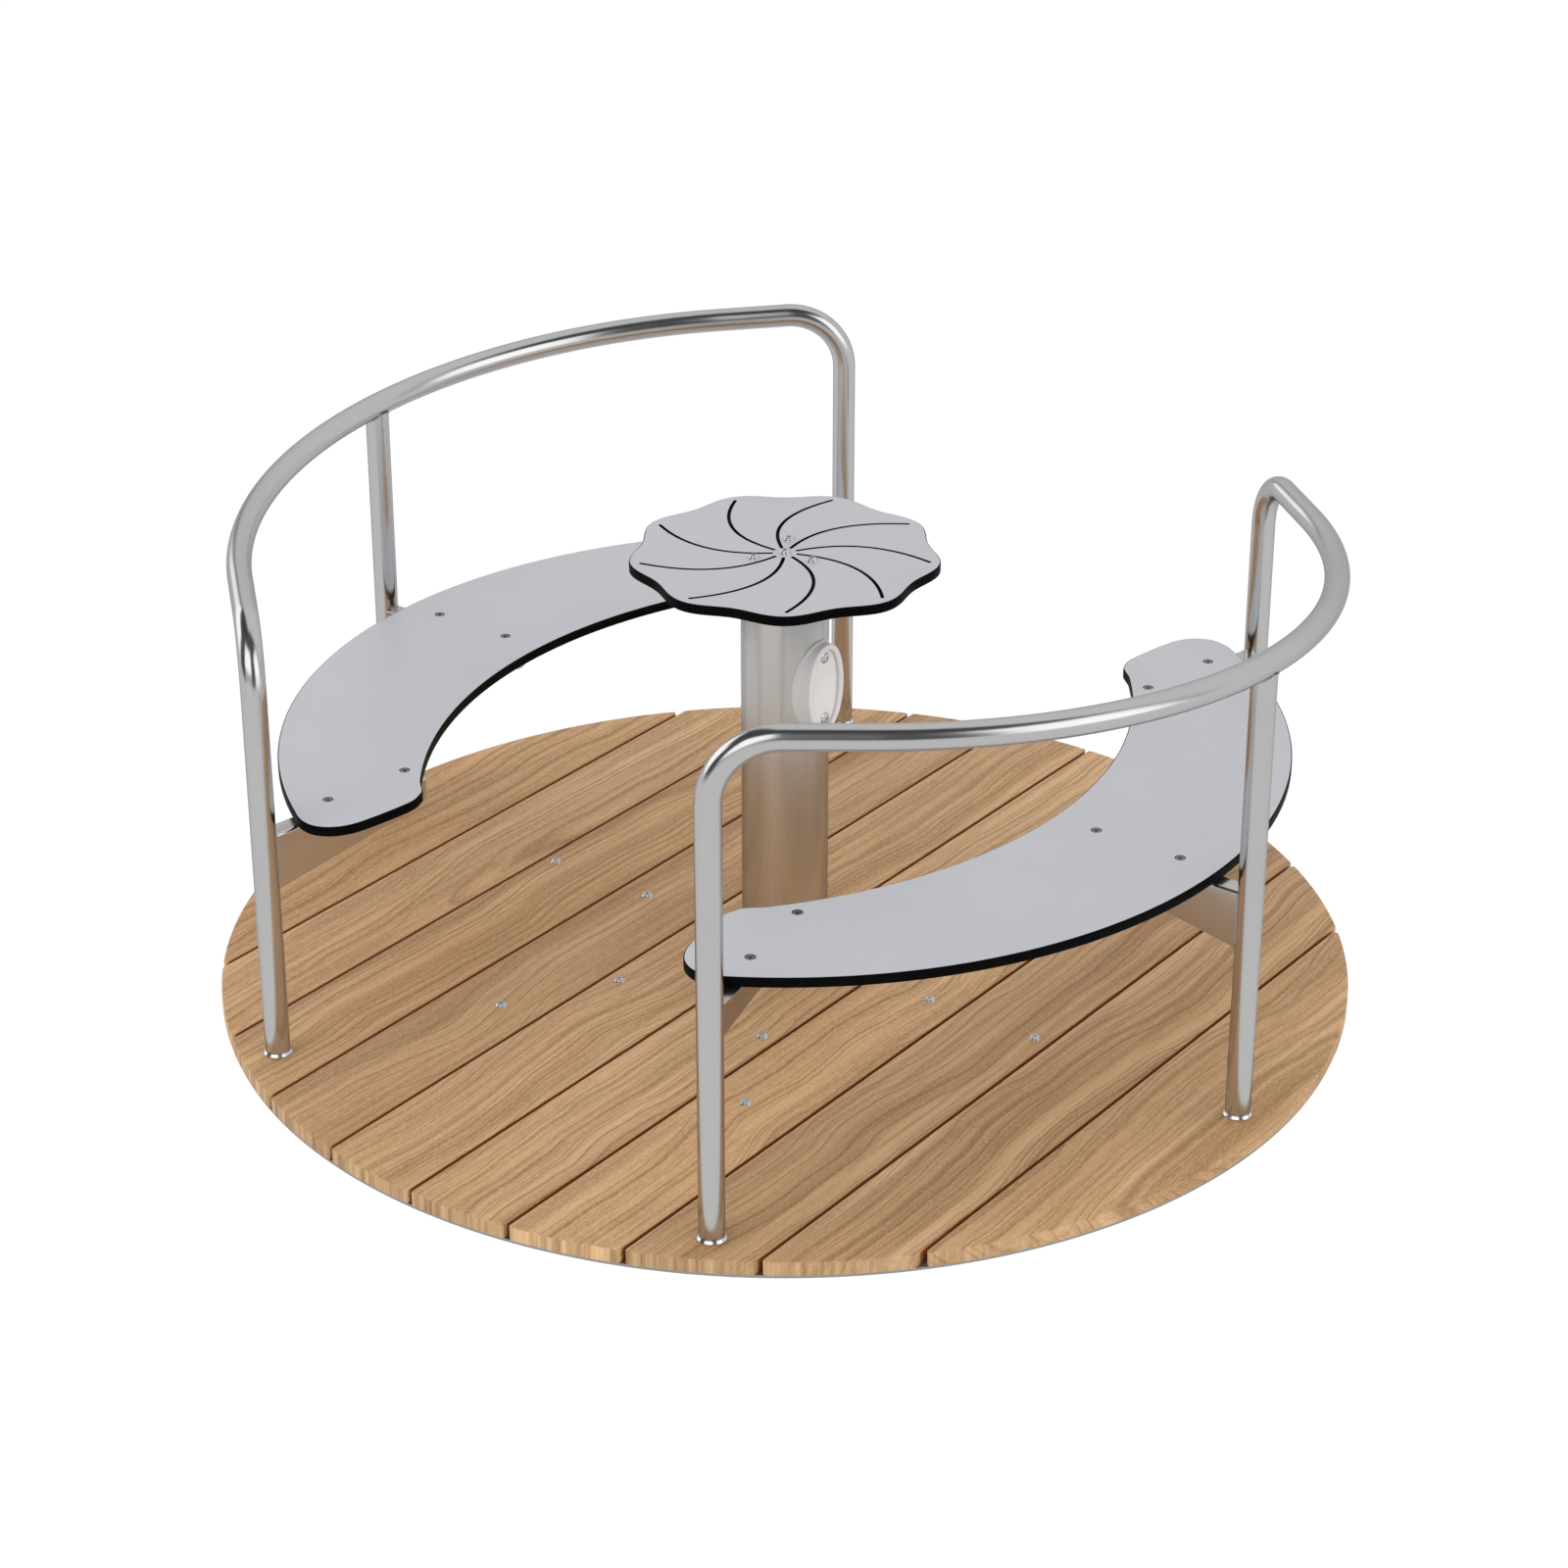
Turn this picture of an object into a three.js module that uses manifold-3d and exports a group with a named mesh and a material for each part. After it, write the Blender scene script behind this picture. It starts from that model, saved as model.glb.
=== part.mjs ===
// Playground merry-go-round: a timber-decked platform that turns on two ball
// bearings around a fixed stainless column, with a fixed hand table on the
// column, two arc-shaped benches and two bent-tube handrails on the platform.
// Units are millimetres, +Z is up, the turning axis is the Z axis, and the
// origin is on that axis at ground level under the base flange.
import * as THREE from 'three';
import { mergeVertices } from 'three/addons/utils/BufferGeometryUtils.js';
import Module from 'manifold-3d';

const wasm = await Module();
wasm.setup();

const DEG = Math.PI / 180;

// --------------------------------------------------------- shared dimensions
const GAP = 0.3;                 // working gap between touching pieces

// Deck stack, from the timber surface down to the top of the rotor frame
const DECK_TOP = 128;
const DECK_R = 750;
const PLANK_T = 19;
const DISC_T = 4;
const PLANK_Z0 = DECK_TOP - PLANK_T;
const DISC_Z1 = PLANK_Z0 - GAP;
const DISC_Z0 = DISC_Z1 - DISC_T;
const FRAME_TOP = DISC_Z0 - GAP;

const BASE_T = 12;
const COLUMN_R = 57.15;          // 114.3 mm tube

const AXLE_R = 60;               // bearing seats on the axle sleeve
const BEARING_INNER_R = AXLE_R + GAP;
const BEARING_OUTER_R = 89.9;
const BEARING_HALF_WIDTH = 14;
const LOWER_BEARING_Z = 46;
const UPPER_BEARING_Z = 84;

const TUBE_R = 16;               // handrail tube and posts
const POST_CIRCLE_R = 703;
const POST_ANGLES = [-60, 0, 60, 120, 180, 240].map((angle) => angle * DEG);
const DECK_SCREW_RADII = [237.5, 402]; // two screws over each arm

const STRIP_T = 5;               // tapped strips that the screw pairs pull up

// ------------------------------------------------------------------- helpers
const polar = (radius, angle) => [radius * Math.cos(angle), radius * Math.sin(angle)];

const arcPoints = (radius, from, to, spans) => Array.from({ length: spans + 1 },
  (_, i) => polar(radius, from + ((to - from) * i) / spans));

// A closed geometry becomes a manifold solid, turned right side out if needed.
// The geometry passed in is used up.
function solid(geometry) {
  for (const name of Object.keys(geometry.attributes)) {
    if (name !== 'position') geometry.deleteAttribute(name);
  }
  const merged = mergeVertices(geometry, 1e-4);
  const coords = merged.attributes.position.array;
  const index = merged.index.array;
  let volume = 0;
  for (let i = 0; i < index.length; i += 3) {
    const a = 3 * index[i];
    const b = 3 * index[i + 1];
    const c = 3 * index[i + 2];
    volume += coords[a] * (coords[b + 1] * coords[c + 2] - coords[b + 2] * coords[c + 1])
      - coords[a + 1] * (coords[b] * coords[c + 2] - coords[b + 2] * coords[c])
      + coords[a + 2] * (coords[b] * coords[c + 1] - coords[b + 1] * coords[c]);
  }
  const triangles = [];
  for (let i = 0; i < index.length; i += 3) {
    const [a, b, c] = [index[i], index[i + 1], index[i + 2]];
    if (a === b || b === c || c === a) continue;
    triangles.push(a, ...(volume > 0 ? [b, c] : [c, b]));
  }
  return new wasm.Manifold(new wasm.Mesh({
    numProp: 3,
    vertProperties: Float32Array.from(coords),
    triVerts: Uint32Array.from(triangles),
  }));
}

function geometryOf(body) {
  const mesh = body.getMesh();
  const geometry = new THREE.BufferGeometry();
  geometry.setAttribute('position',
    new THREE.BufferAttribute(Float32Array.from(mesh.vertProperties), 3));
  geometry.setIndex(Array.from(mesh.triVerts));
  geometry.computeVertexNormals();
  return geometry;
}

const unite = (...bodies) => bodies.reduce((whole, part) => whole.add(part));
const cut = (body, ...tools) => tools.reduce((rest, tool) => rest.subtract(tool), body);

// Turned about Z, then shifted in plan.
function moved(body, { x = 0, y = 0, turn = 0 }) {
  const geometry = geometryOf(body);
  geometry.rotateZ(turn);
  geometry.translate(x, y, 0);
  return solid(geometry);
}

const shapeOf = (points) => new THREE.Shape(points.map(([x, y]) => new THREE.Vector2(x, y)));

const extruded = (points, depth) => new THREE.ExtrudeGeometry(shapeOf(points),
  { depth, bevelEnabled: false, steps: 1 });

// Plan outline of [x, y] points, raised from z0 to z1.
function prism(points, z0, z1) {
  return solid(extruded(points, z1 - z0).translate(0, 0, z0));
}

// Side outline of [x, z] points, spanning y0 to y1.
function sidePrism(points, y0, y1) {
  const geometry = extruded(points, y1 - y0);
  geometry.rotateX(Math.PI / 2);   // shape y -> Z, depth -> -Y
  geometry.translate(0, y1, 0);
  return solid(geometry);
}

// Rectangular bar lying along X, centred on y = 0.
const bar = (x0, x1, halfWidth, z0, z1) => prism(
  [[x0, -halfWidth], [x1, -halfWidth], [x1, halfWidth], [x0, halfWidth]], z0, z1);

function cylinder(radius, z0, z1, segments, x = 0, y = 0) {
  const geometry = new THREE.CylinderGeometry(radius, radius, z1 - z0, segments);
  geometry.rotateX(Math.PI / 2);
  geometry.translate(x, y, (z0 + z1) / 2);
  return solid(geometry);
}

// A faceted cylinder whose flats touch the true radius, for cutting bores.
const bore = (radius, z0, z1, segments, x = 0, y = 0) => cylinder(
  radius / Math.cos(Math.PI / segments), z0, z1, segments, x, y);

// Solid of revolution about Z; the profile is [radius, z] pairs.
function turned(profile, segments) {
  const points = profile.map(([radius, z]) => new THREE.Vector2(radius, z));
  return solid(new THREE.LatheGeometry(points, segments).rotateX(Math.PI / 2));
}

// The same for a profile that closes on itself away from the axis.
const ring = (profile, segments) => turned([...profile, profile[0]], segments);

const plainRing = (innerR, outerR, z0, z1, segments) => ring(
  [[innerR, z0], [outerR, z0], [outerR, z1], [innerR, z1]], segments);

// Dome-head screw with the underside of its head at z.
function domeScrew(x, y, z, { headR, headH, shankR, length }) {
  const body = turned([
    [0, z - length], [shankR, z - length], [shankR, z], [headR, z],
    [headR * 0.8, z + headH * 0.75], [headR * 0.4, z + headH], [0, z + headH],
  ], 8);
  return moved(body, { x, y });
}

// ------------------------------------------------------ materials and groups
const MATERIALS = {
  stainless: { color: 0xb8b9ba, roughness: 0.32, metalness: 1 },
  galvanised: { color: 0x9da2a6, roughness: 0.55, metalness: 0.9 },
  bearing: { color: 0xc9ccd0, roughness: 0.2, metalness: 1 },
  cage: { color: 0xb08d4f, roughness: 0.35, metalness: 1 },
  timber: { color: 0xc29c74, roughness: 0.6, metalness: 0 },
  panel: { color: 0xbbbdc6, roughness: 0.45, metalness: 0 },
  rubber: { color: 0x1b1b1c, roughness: 0.85, metalness: 0 },
  plate: { color: 0xd8d8d6, roughness: 0.5, metalness: 0 },
};

const merryGoRound = new THREE.Group();
merryGoRound.name = 'merry_go_round';
const fixed = new THREE.Group();
const turning = new THREE.Group();
const rolling = new THREE.Group();
merryGoRound.add(fixed, turning, rolling);

function put(group, name, body, materialName) {
  const material = new THREE.MeshStandardMaterial({
    name: materialName, ...MATERIALS[materialName],
  });
  const mesh = new THREE.Mesh(geometryOf(body), material);
  mesh.name = name;
  group.add(mesh);
}

// ----------------------------------------------- fixed: base, column, sleeve
const BASE_R = 200;
const BASE_BOLT_CIRCLE_R = 160;
const BASE_BOLT_HOLE_R = 7;
const COLUMN_WALL = 4;
const AXLE_SHOULDER_R = 66;      // thicker part of the sleeve between the bearings

const TABLE_T = 13;
const TABLE_TOP = DECK_TOP + 575;
const TABLE_BOTTOM = TABLE_TOP - TABLE_T;
const MOUNT_T = 8;               // round plate under the table
const MOUNT_Z1 = TABLE_BOTTOM - GAP;
const MOUNT_Z0 = MOUNT_Z1 - MOUNT_T;

const LABEL_Z = DECK_TOP + 402.5;
const LABEL_SCREW_RISE = 42.9;   // screws above and below the plate centre
const LABEL_HOLE_R = 2.8;
const LABEL_HOLE_LENGTH = 80;
const LABEL_HOLE_X = 60;         // middle of the cutter

// Cutters through the label plate and the +X wall of the column.
const labelHoles = [-1, 1].map((side) => {
  const hole = new THREE.CylinderGeometry(LABEL_HOLE_R, LABEL_HOLE_R, LABEL_HOLE_LENGTH, 8);
  hole.rotateZ(Math.PI / 2);
  hole.translate(LABEL_HOLE_X, 0, LABEL_Z + side * LABEL_SCREW_RISE);
  return solid(hole);
});

function baseFlange() {
  const holes = [30, 90, 150, 210, 270, 330].map((angle) => bore(
    BASE_BOLT_HOLE_R, -1, BASE_T + 1, 10, ...polar(BASE_BOLT_CIRCLE_R, angle * DEG)));
  return cut(cylinder(BASE_R, 0, BASE_T, 48), ...holes);
}

function columnTube() {
  const tube = plainRing(COLUMN_R - COLUMN_WALL, COLUMN_R, BASE_T + GAP, MOUNT_Z0 - GAP, 40);
  return cut(tube, ...labelHoles);
}

function axleSleeve() {
  const innerR = COLUMN_R + 2 * GAP;
  const z0 = BASE_T + GAP;
  const shoulderZ0 = LOWER_BEARING_Z + BEARING_HALF_WIDTH + GAP;
  const shoulderZ1 = UPPER_BEARING_Z - BEARING_HALF_WIDTH - GAP;
  const z1 = UPPER_BEARING_Z + BEARING_HALF_WIDTH;
  return ring([
    [innerR, z0], [AXLE_R, z0], [AXLE_R, shoulderZ0], [AXLE_SHOULDER_R, shoulderZ0],
    [AXLE_SHOULDER_R, shoulderZ1], [AXLE_R, shoulderZ1], [AXLE_R, z1], [innerR, z1],
  ], 28);
}

put(fixed, 'base_flange', baseFlange(), 'galvanised');
put(fixed, 'column_tube', columnTube(), 'stainless');
put(fixed, 'axle_sleeve', axleSleeve(), 'galvanised');

// --------------------------------------------------------- fixed: hand table
const TABLE_MEAN_R = 193.6;
const TABLE_LOBE = 6.8;          // rise and fall of the wavy edge
const TABLE_LOBES = 9;
const TABLE_PHASE = 26.7 * DEG;
const TABLE_SCREW_CIRCLE_R = 43;
const TABLE_HOLE_R = 3.3;
const MOUNT_R = COLUMN_R - 1.5;
const TABLE_SCREW = { headR: 8.2, headH: 4.4, shankR: 3, length: TABLE_T + GAP + MOUNT_T - 1 };

const tableScrews = [
  ['table_centre_screw', [0, 0]],
  ...[0, 120, 240].map((angle, i) => [
    `table_screw_${i + 1}`, polar(TABLE_SCREW_CIRCLE_R, angle * DEG),
  ]),
];
const tableHoles = tableScrews.map(([, point]) => bore(
  TABLE_HOLE_R, MOUNT_Z0 - 1, TABLE_TOP + 1, 8, ...point));

function handTable() {
  const count = TABLE_LOBES * 8;
  const outline = Array.from({ length: count }, (_, i) => {
    const angle = (i / count) * 2 * Math.PI;
    const wave = TABLE_LOBE * Math.cos(TABLE_LOBES * (angle - TABLE_PHASE));
    return polar(TABLE_MEAN_R + wave, angle);
  });
  return cut(prism(outline, TABLE_BOTTOM, TABLE_TOP), ...tableHoles);
}

put(fixed, 'table_mount_plate',
  cut(cylinder(MOUNT_R, MOUNT_Z0, MOUNT_Z1, 32), ...tableHoles), 'stainless');
put(fixed, 'hand_table', handTable(), 'panel');
for (const [name, [x, y]] of tableScrews) {
  put(fixed, name, domeScrew(x, y, TABLE_TOP + GAP, TABLE_SCREW), 'stainless');
}

// -------------------------------------------------------- fixed: label plate
// Oval housing on the +X side of the column: a raised lip round a recessed face.
const LABEL_BACK_X = 36;
const LABEL_FACE_X = 64;
const LABEL_LIP_X = 69;
const LABEL_OUTER = { halfWidth: 37, halfHeight: 61 };
const LABEL_RECESS = { halfWidth: 26.5, halfHeight: 52.5 };
const LABEL_OVAL_POWER = 0.86;   // below 1 squares the oval a little
const LABEL_SHANK_LENGTH = 18;

function ovalPrism({ halfWidth, halfHeight }, x0, x1) {
  const points = Array.from({ length: 28 }, (_, i) => {
    const [across, up] = polar(1, (i / 28) * 2 * Math.PI);
    const bulge = Math.sign(across) * Math.abs(across) ** LABEL_OVAL_POWER;
    return [halfWidth * bulge, halfHeight * up];
  });
  const geometry = extruded(points, x1 - x0);
  geometry.rotateY(Math.PI / 2);
  geometry.rotateX(Math.PI / 2);   // now depth -> +X, shape x -> Y, shape y -> Z
  geometry.translate(x0, 0, LABEL_Z);
  return solid(geometry);
}

function labelPlate() {
  return cut(
    ovalPrism(LABEL_OUTER, LABEL_BACK_X, LABEL_LIP_X),
    ovalPrism(LABEL_RECESS, LABEL_FACE_X, LABEL_LIP_X + 4),
    bore(COLUMN_R + GAP, LABEL_Z - 100, LABEL_Z + 100, 40),
    ...labelHoles,
  );
}

function labelScrew(side) {
  const geometry = geometryOf(turned([
    [0, 0], [2.3, 0], [2.3, LABEL_SHANK_LENGTH], [8, LABEL_SHANK_LENGTH], [6.4, 21.2], [0, 22.3],
  ], 8));
  geometry.rotateY(Math.PI / 2);
  geometry.translate(LABEL_FACE_X + GAP - LABEL_SHANK_LENGTH, 0,
    LABEL_Z + side * LABEL_SCREW_RISE);
  return solid(geometry);
}

put(fixed, 'label_plate', labelPlate(), 'plate');
put(fixed, 'label_screw_top', labelScrew(1), 'stainless');
put(fixed, 'label_screw_bottom', labelScrew(-1), 'stainless');

// ------------------------------------------------------------------ bearings
const BALL_CIRCLE_R = 75;
const BALL_R = 9;
const BALL_COUNT = 9;
const GROOVE_R = BALL_R + 0.9;
const RACE_OFFSET = 6;           // race shoulders from the ball circle
const CAGE_HALF_T = 2;
const CAGE_HALF_HEIGHT = 5.5;

// side is -1 for the inner ring and +1 for the outer ring.
function bearingRing(side, farR, centreZ) {
  const shoulderR = BALL_CIRCLE_R + side * RACE_OFFSET;
  const limit = Math.acos(RACE_OFFSET / GROOVE_R);
  const groove = arcPoints(GROOVE_R, -limit, limit, 4)
    .map(([depth, z]) => [BALL_CIRCLE_R + side * depth, z]);
  const profile = [
    [farR, -BEARING_HALF_WIDTH], [shoulderR, -BEARING_HALF_WIDTH], ...groove,
    [shoulderR, BEARING_HALF_WIDTH], [farR, BEARING_HALF_WIDTH],
  ];
  return ring(profile.map(([radius, z]) => [radius, centreZ + z]), 28);
}

// The cage and its balls are one piece.
function ballCage(centreZ) {
  const cage = plainRing(BALL_CIRCLE_R - CAGE_HALF_T, BALL_CIRCLE_R + CAGE_HALF_T,
    centreZ - CAGE_HALF_HEIGHT, centreZ + CAGE_HALF_HEIGHT, 18);
  const balls = Array.from({ length: BALL_COUNT }, (_, i) => {
    const [x, y] = polar(BALL_CIRCLE_R, i * (360 / BALL_COUNT) * DEG);
    const ball = new THREE.SphereGeometry(BALL_R, 7, 5);
    ball.rotateX(Math.PI / 2);
    ball.translate(x, y, centreZ);
    return solid(ball);
  });
  return unite(cage, ...balls);
}

for (const [name, z] of [['lower', LOWER_BEARING_Z], ['upper', UPPER_BEARING_Z]]) {
  put(fixed, `${name}_inner_ring`, bearingRing(-1, BEARING_INNER_R, z), 'bearing');
  put(turning, `${name}_outer_ring`, bearingRing(1, BEARING_OUTER_R, z), 'bearing');
  put(rolling, `${name}_ball_cage`, ballCage(z), 'cage');
}

// -------------------------------------------------------- turning: steelwork
const HUB_R = 103;
const HUB_LIP_R = 84;            // lips above, between and below the bearings
const HUB_SEAT_R = BEARING_OUTER_R + 1;
const HUB_FLANGE_R = 130;
const HUB_FLANGE_T = 8;
const HUB_SKIRT = 3;             // hub below the lower bearing space

const ARM_W = 60;
const ARM_T = 4;
const ARM_START = 95;
const ARM_END = 730;
const ARM_HOLLOW_START = 106;
const ARM_HOLLOW_Z0 = 40;        // below the arm, so that its underside is open
const BOSS_R = 23;               // socket in the arm for each post

const DISC_R = 748.5;
const DISC_BORE_R = 70;
const DECK_SCREW_HOLE_R = 4.3;

const posts = POST_ANGLES.map((angle) => polar(POST_CIRCLE_R, angle));
const deckScrews = POST_ANGLES.map((angle) => DECK_SCREW_RADII.map((r) => polar(r, angle)));

// Cutters for posts and screws, from below the arms to above the planks.
const deckHoles = [
  ...posts.map((point) => bore(TUBE_R + GAP, 40, 140, 10, ...point)),
  ...deckScrews.flat().map((point) => bore(DECK_SCREW_HOLE_R, 40, 140, 6, ...point)),
];

function hub() {
  const space = BEARING_HALF_WIDTH + GAP;
  const z0 = LOWER_BEARING_Z - space - HUB_SKIRT;
  return ring([
    [HUB_R, z0], [HUB_R, FRAME_TOP - HUB_FLANGE_T],
    [HUB_FLANGE_R, FRAME_TOP - HUB_FLANGE_T], [HUB_FLANGE_R, FRAME_TOP],
    [HUB_LIP_R, FRAME_TOP], [HUB_LIP_R, UPPER_BEARING_Z + space],
    [HUB_SEAT_R, UPPER_BEARING_Z + space], [HUB_SEAT_R, UPPER_BEARING_Z - space],
    [HUB_LIP_R, UPPER_BEARING_Z - space], [HUB_LIP_R, LOWER_BEARING_Z + space],
    [HUB_SEAT_R, LOWER_BEARING_Z + space], [HUB_SEAT_R, z0],
  ], 32);
}

// Tapered channel, open below, trimmed where it meets the hub.
function arm(angle) {
  const outline = [
    [ARM_START, 70], [300, 74], [ARM_END, FRAME_TOP - 12],
    [ARM_END, FRAME_TOP], [ARM_START, FRAME_TOP],
  ];
  const hollow = [
    [ARM_HOLLOW_START, ARM_HOLLOW_Z0], [ARM_END - ARM_T, ARM_HOLLOW_Z0],
    [ARM_END - ARM_T, FRAME_TOP - ARM_T], [ARM_HOLLOW_START, FRAME_TOP - ARM_T],
  ];
  const hollowHalfWidth = ARM_W / 2 - ARM_T;
  const channel = cut(sidePrism(outline, -ARM_W / 2, ARM_W / 2),
    sidePrism(hollow, -hollowHalfWidth, hollowHalfWidth));
  const trimmed = cut(moved(channel, { turn: angle }), cylinder(HUB_R - 1.5, 0, 200, 32));
  const boss = cylinder(BOSS_R, FRAME_TOP - 11, FRAME_TOP - 1, 10, ...polar(POST_CIRCLE_R, angle));
  return cut(unite(trimmed, boss), ...deckHoles);
}

put(turning, 'rotor_frame', unite(hub(), ...POST_ANGLES.map(arm)), 'galvanised');
put(turning, 'deck_disc',
  cut(plainRing(DISC_BORE_R, DISC_R, DISC_Z0, DISC_Z1, 64), ...deckHoles), 'galvanised');
put(turning, 'hub_seal', plainRing(58.1, 69.3, 101, DISC_Z1, 32), 'rubber');

// ------------------------------------------------------------ turning: planks
const PLANK_COUNT = 10;
const PLANK_PITCH = 141.5;
const PLANK_SPACING = 5;         // drainage gap between planks
const PLANK_COLUMN_HOLE_R = 60.5;

// Planks run along Y and are numbered from -X to +X; the rim cuts their ends.
function plank(i) {
  const isFirst = i === 0;
  const isLast = i === PLANK_COUNT - 1;
  const pitchX = (i - PLANK_COUNT / 2) * PLANK_PITCH;
  const x0 = isFirst ? -DECK_R : pitchX + PLANK_SPACING / 2;
  const x1 = isLast ? DECK_R : pitchX + PLANK_PITCH - PLANK_SPACING / 2;
  const angle0 = Math.acos(x0 / DECK_R);
  const angle1 = Math.acos(x1 / DECK_R);
  let outline;
  if (isLast) {
    outline = arcPoints(DECK_R, -angle0, angle0, 22);
  } else if (isFirst) {
    outline = arcPoints(DECK_R, angle1, 2 * Math.PI - angle1, 22);
  } else {
    outline = [
      ...arcPoints(DECK_R, angle1, angle0, 4),
      ...arcPoints(DECK_R, -angle0, -angle1, 4),
    ];
  }
  return cut(prism(outline, PLANK_Z0, DECK_TOP), ...deckHoles,
    cylinder(PLANK_COLUMN_HOLE_R, 90, 140, 36));
}

for (let i = 0; i < PLANK_COUNT; i++) {
  put(turning, `plank_${String(i + 1).padStart(2, '0')}`, plank(i), 'timber');
}

// ------------------------------------------------------- turning: deck screws
const DECK_STRIP_Z1 = FRAME_TOP - ARM_T - GAP;
const DECK_STRIP_Z0 = DECK_STRIP_Z1 - STRIP_T;
const DECK_STRIP_OVERHANG = 14;
const DECK_STRIP_HALF_WIDTH = 11;
const DECK_SCREW = {
  headR: 8, headH: 3.4, shankR: 4, length: DECK_TOP + GAP - DECK_STRIP_Z0 - 1.5,
};

// Each arm's two screws share one tapped strip under the arm's top wall.
deckScrews.forEach((pair, i) => {
  const [innerR, outerR] = DECK_SCREW_RADII;
  const strip = bar(innerR - DECK_STRIP_OVERHANG, outerR + DECK_STRIP_OVERHANG,
    DECK_STRIP_HALF_WIDTH, DECK_STRIP_Z0, DECK_STRIP_Z1);
  const screws = pair.map(([x, y]) => domeScrew(x, y, DECK_TOP + GAP, DECK_SCREW));
  put(turning, `deck_screw_pair_${i + 1}`,
    unite(moved(strip, { turn: POST_ANGLES[i] }), ...screws), 'stainless');
});

// --------------------------------------------------------- turning: handrails
const TUBE_BORE_R = 14;
const POST_FOOT_Z = 94;
const RAIL_ARC_R = 656.7;        // plan radius of the rail
const RAIL_ARC_X = 47.15;        // centre of that arc, off the turning axis
const RAIL_Z = DECK_TOP + 613.9; // centreline height at mid length
const RAIL_SLOPE = -0.065;       // rail A falls along +Y
const RAIL_BEND_R = 80;          // bend between post and rail
const COLLAR_R = 19.2;

// The rail arc ends where a straight from the end post is tangent to it.
const [END_POST_X, END_POST_Y] = posts[2];
const RAIL_HALF_ANGLE = (() => {
  const offsetX = END_POST_X - RAIL_ARC_X;
  const straight = Math.sqrt(offsetX * offsetX + END_POST_Y * END_POST_Y - RAIL_ARC_R ** 2);
  return Math.atan2(END_POST_Y, offsetX) - Math.atan(straight / RAIL_ARC_R);
})();

// Runs through given points, with one extrude step for each span.
class BentPath extends THREE.Curve {
  constructor(stations) {
    super();
    this.stations = stations;
  }

  getPointAt(fraction) {
    return this.stations[Math.round(fraction * (this.stations.length - 1))].clone();
  }

  getTangentAt(fraction) {
    const last = this.stations.length - 1;
    const i = Math.round(fraction * last);
    const here = this.stations[i];
    const arriving = here.clone().sub(this.stations[Math.max(i - 1, 0)]).normalize();
    const leaving = this.stations[Math.min(i + 1, last)].clone().sub(here).normalize();
    return arriving.add(leaving).normalize();
  }
}

function bentRod(stations, radius, segments) {
  const corners = Array.from({ length: segments },
    (_, i) => polar(radius, (i / segments) * 2 * Math.PI));
  const shape = shapeOf(corners);
  shape.closePath();
  return solid(new THREE.ExtrudeGeometry(shape, {
    steps: stations.length - 1, bevelEnabled: false, extrudePath: new BentPath(stations),
  }));
}

// Point at plan position x, y on the sloping plane of the rail centreline.
const onRailPlane = (x, y) => new THREE.Vector3(x, y, RAIL_Z + RAIL_SLOPE * y);

function railArcPoint(angle) {
  const [x, y] = polar(RAIL_ARC_R, angle);
  return onRailPlane(RAIL_ARC_X + x, y);
}

// Foot of an end post, then its bend; side is +1 for the +Y post, -1 for the -Y one.
function railEnd(side) {
  const corner = onRailPlane(END_POST_X, side * END_POST_Y);
  const along = railArcPoint(side * RAIL_HALF_ANGLE).sub(corner).normalize();
  const down = new THREE.Vector3(0, 0, -1);
  const angle = Math.acos(along.dot(down));
  const sweep = Math.PI - angle;
  const setback = RAIL_BEND_R / Math.tan(angle / 2);
  const bisector = along.clone().add(down).normalize();
  const centre = corner.clone().addScaledVector(bisector, RAIL_BEND_R / Math.sin(angle / 2));
  const spokeFrom = corner.clone().addScaledVector(down, setback).sub(centre);
  const spokeTo = corner.clone().addScaledVector(along, setback).sub(centre);
  const points = [new THREE.Vector3(END_POST_X, side * END_POST_Y, POST_FOOT_Z)];
  const spans = 6;
  for (let i = 0; i <= spans; i++) {
    const part = i / spans;
    points.push(centre.clone()
      .addScaledVector(spokeFrom, Math.sin((1 - part) * sweep) / Math.sin(sweep))
      .addScaledVector(spokeTo, Math.sin(part * sweep) / Math.sin(sweep)));
  }
  return points;
}

function railPath() {
  const spans = 16;
  const middle = Array.from({ length: spans + 1 },
    (_, i) => railArcPoint(-RAIL_HALF_ANGLE + (2 * RAIL_HALF_ANGLE * i) / spans));
  return [...railEnd(-1), ...middle, ...railEnd(1).reverse()];
}

// Bent tube over the two end posts, with the middle post standing on the X axis.
function handrail() {
  const path = railPath();
  const borePath = path.map((point) => point.clone());
  borePath[0].z -= 1;            // the bore breaks out through both feet
  borePath.at(-1).z -= 1;
  const outside = unite(bentRod(path, TUBE_R, 14),
    cylinder(TUBE_R, POST_FOOT_Z, RAIL_Z, 14, POST_CIRCLE_R, 0));
  return cut(outside, bentRod(borePath, TUBE_BORE_R, 8),
    cylinder(TUBE_BORE_R, POST_FOOT_Z - 1, RAIL_Z - TUBE_R - 2, 8, POST_CIRCLE_R, 0));
}

function postCollar([x, y]) {
  const innerR = TUBE_R + 2 * GAP;
  const z1 = DECK_TOP + 5.6;
  return moved(ring([
    [innerR, DECK_TOP + GAP], [COLLAR_R, DECK_TOP + GAP],
    [COLLAR_R, z1 - 1], [COLLAR_R - 1, z1], [innerR, z1],
  ], 18), { x, y });
}

const rail = handrail();
put(turning, 'handrail_a', rail, 'stainless');
put(turning, 'handrail_b', moved(rail, { turn: Math.PI }), 'stainless');
posts.forEach((point, i) => {
  put(turning, `post_collar_${i + 1}`, postCollar(point), 'stainless');
});

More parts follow.
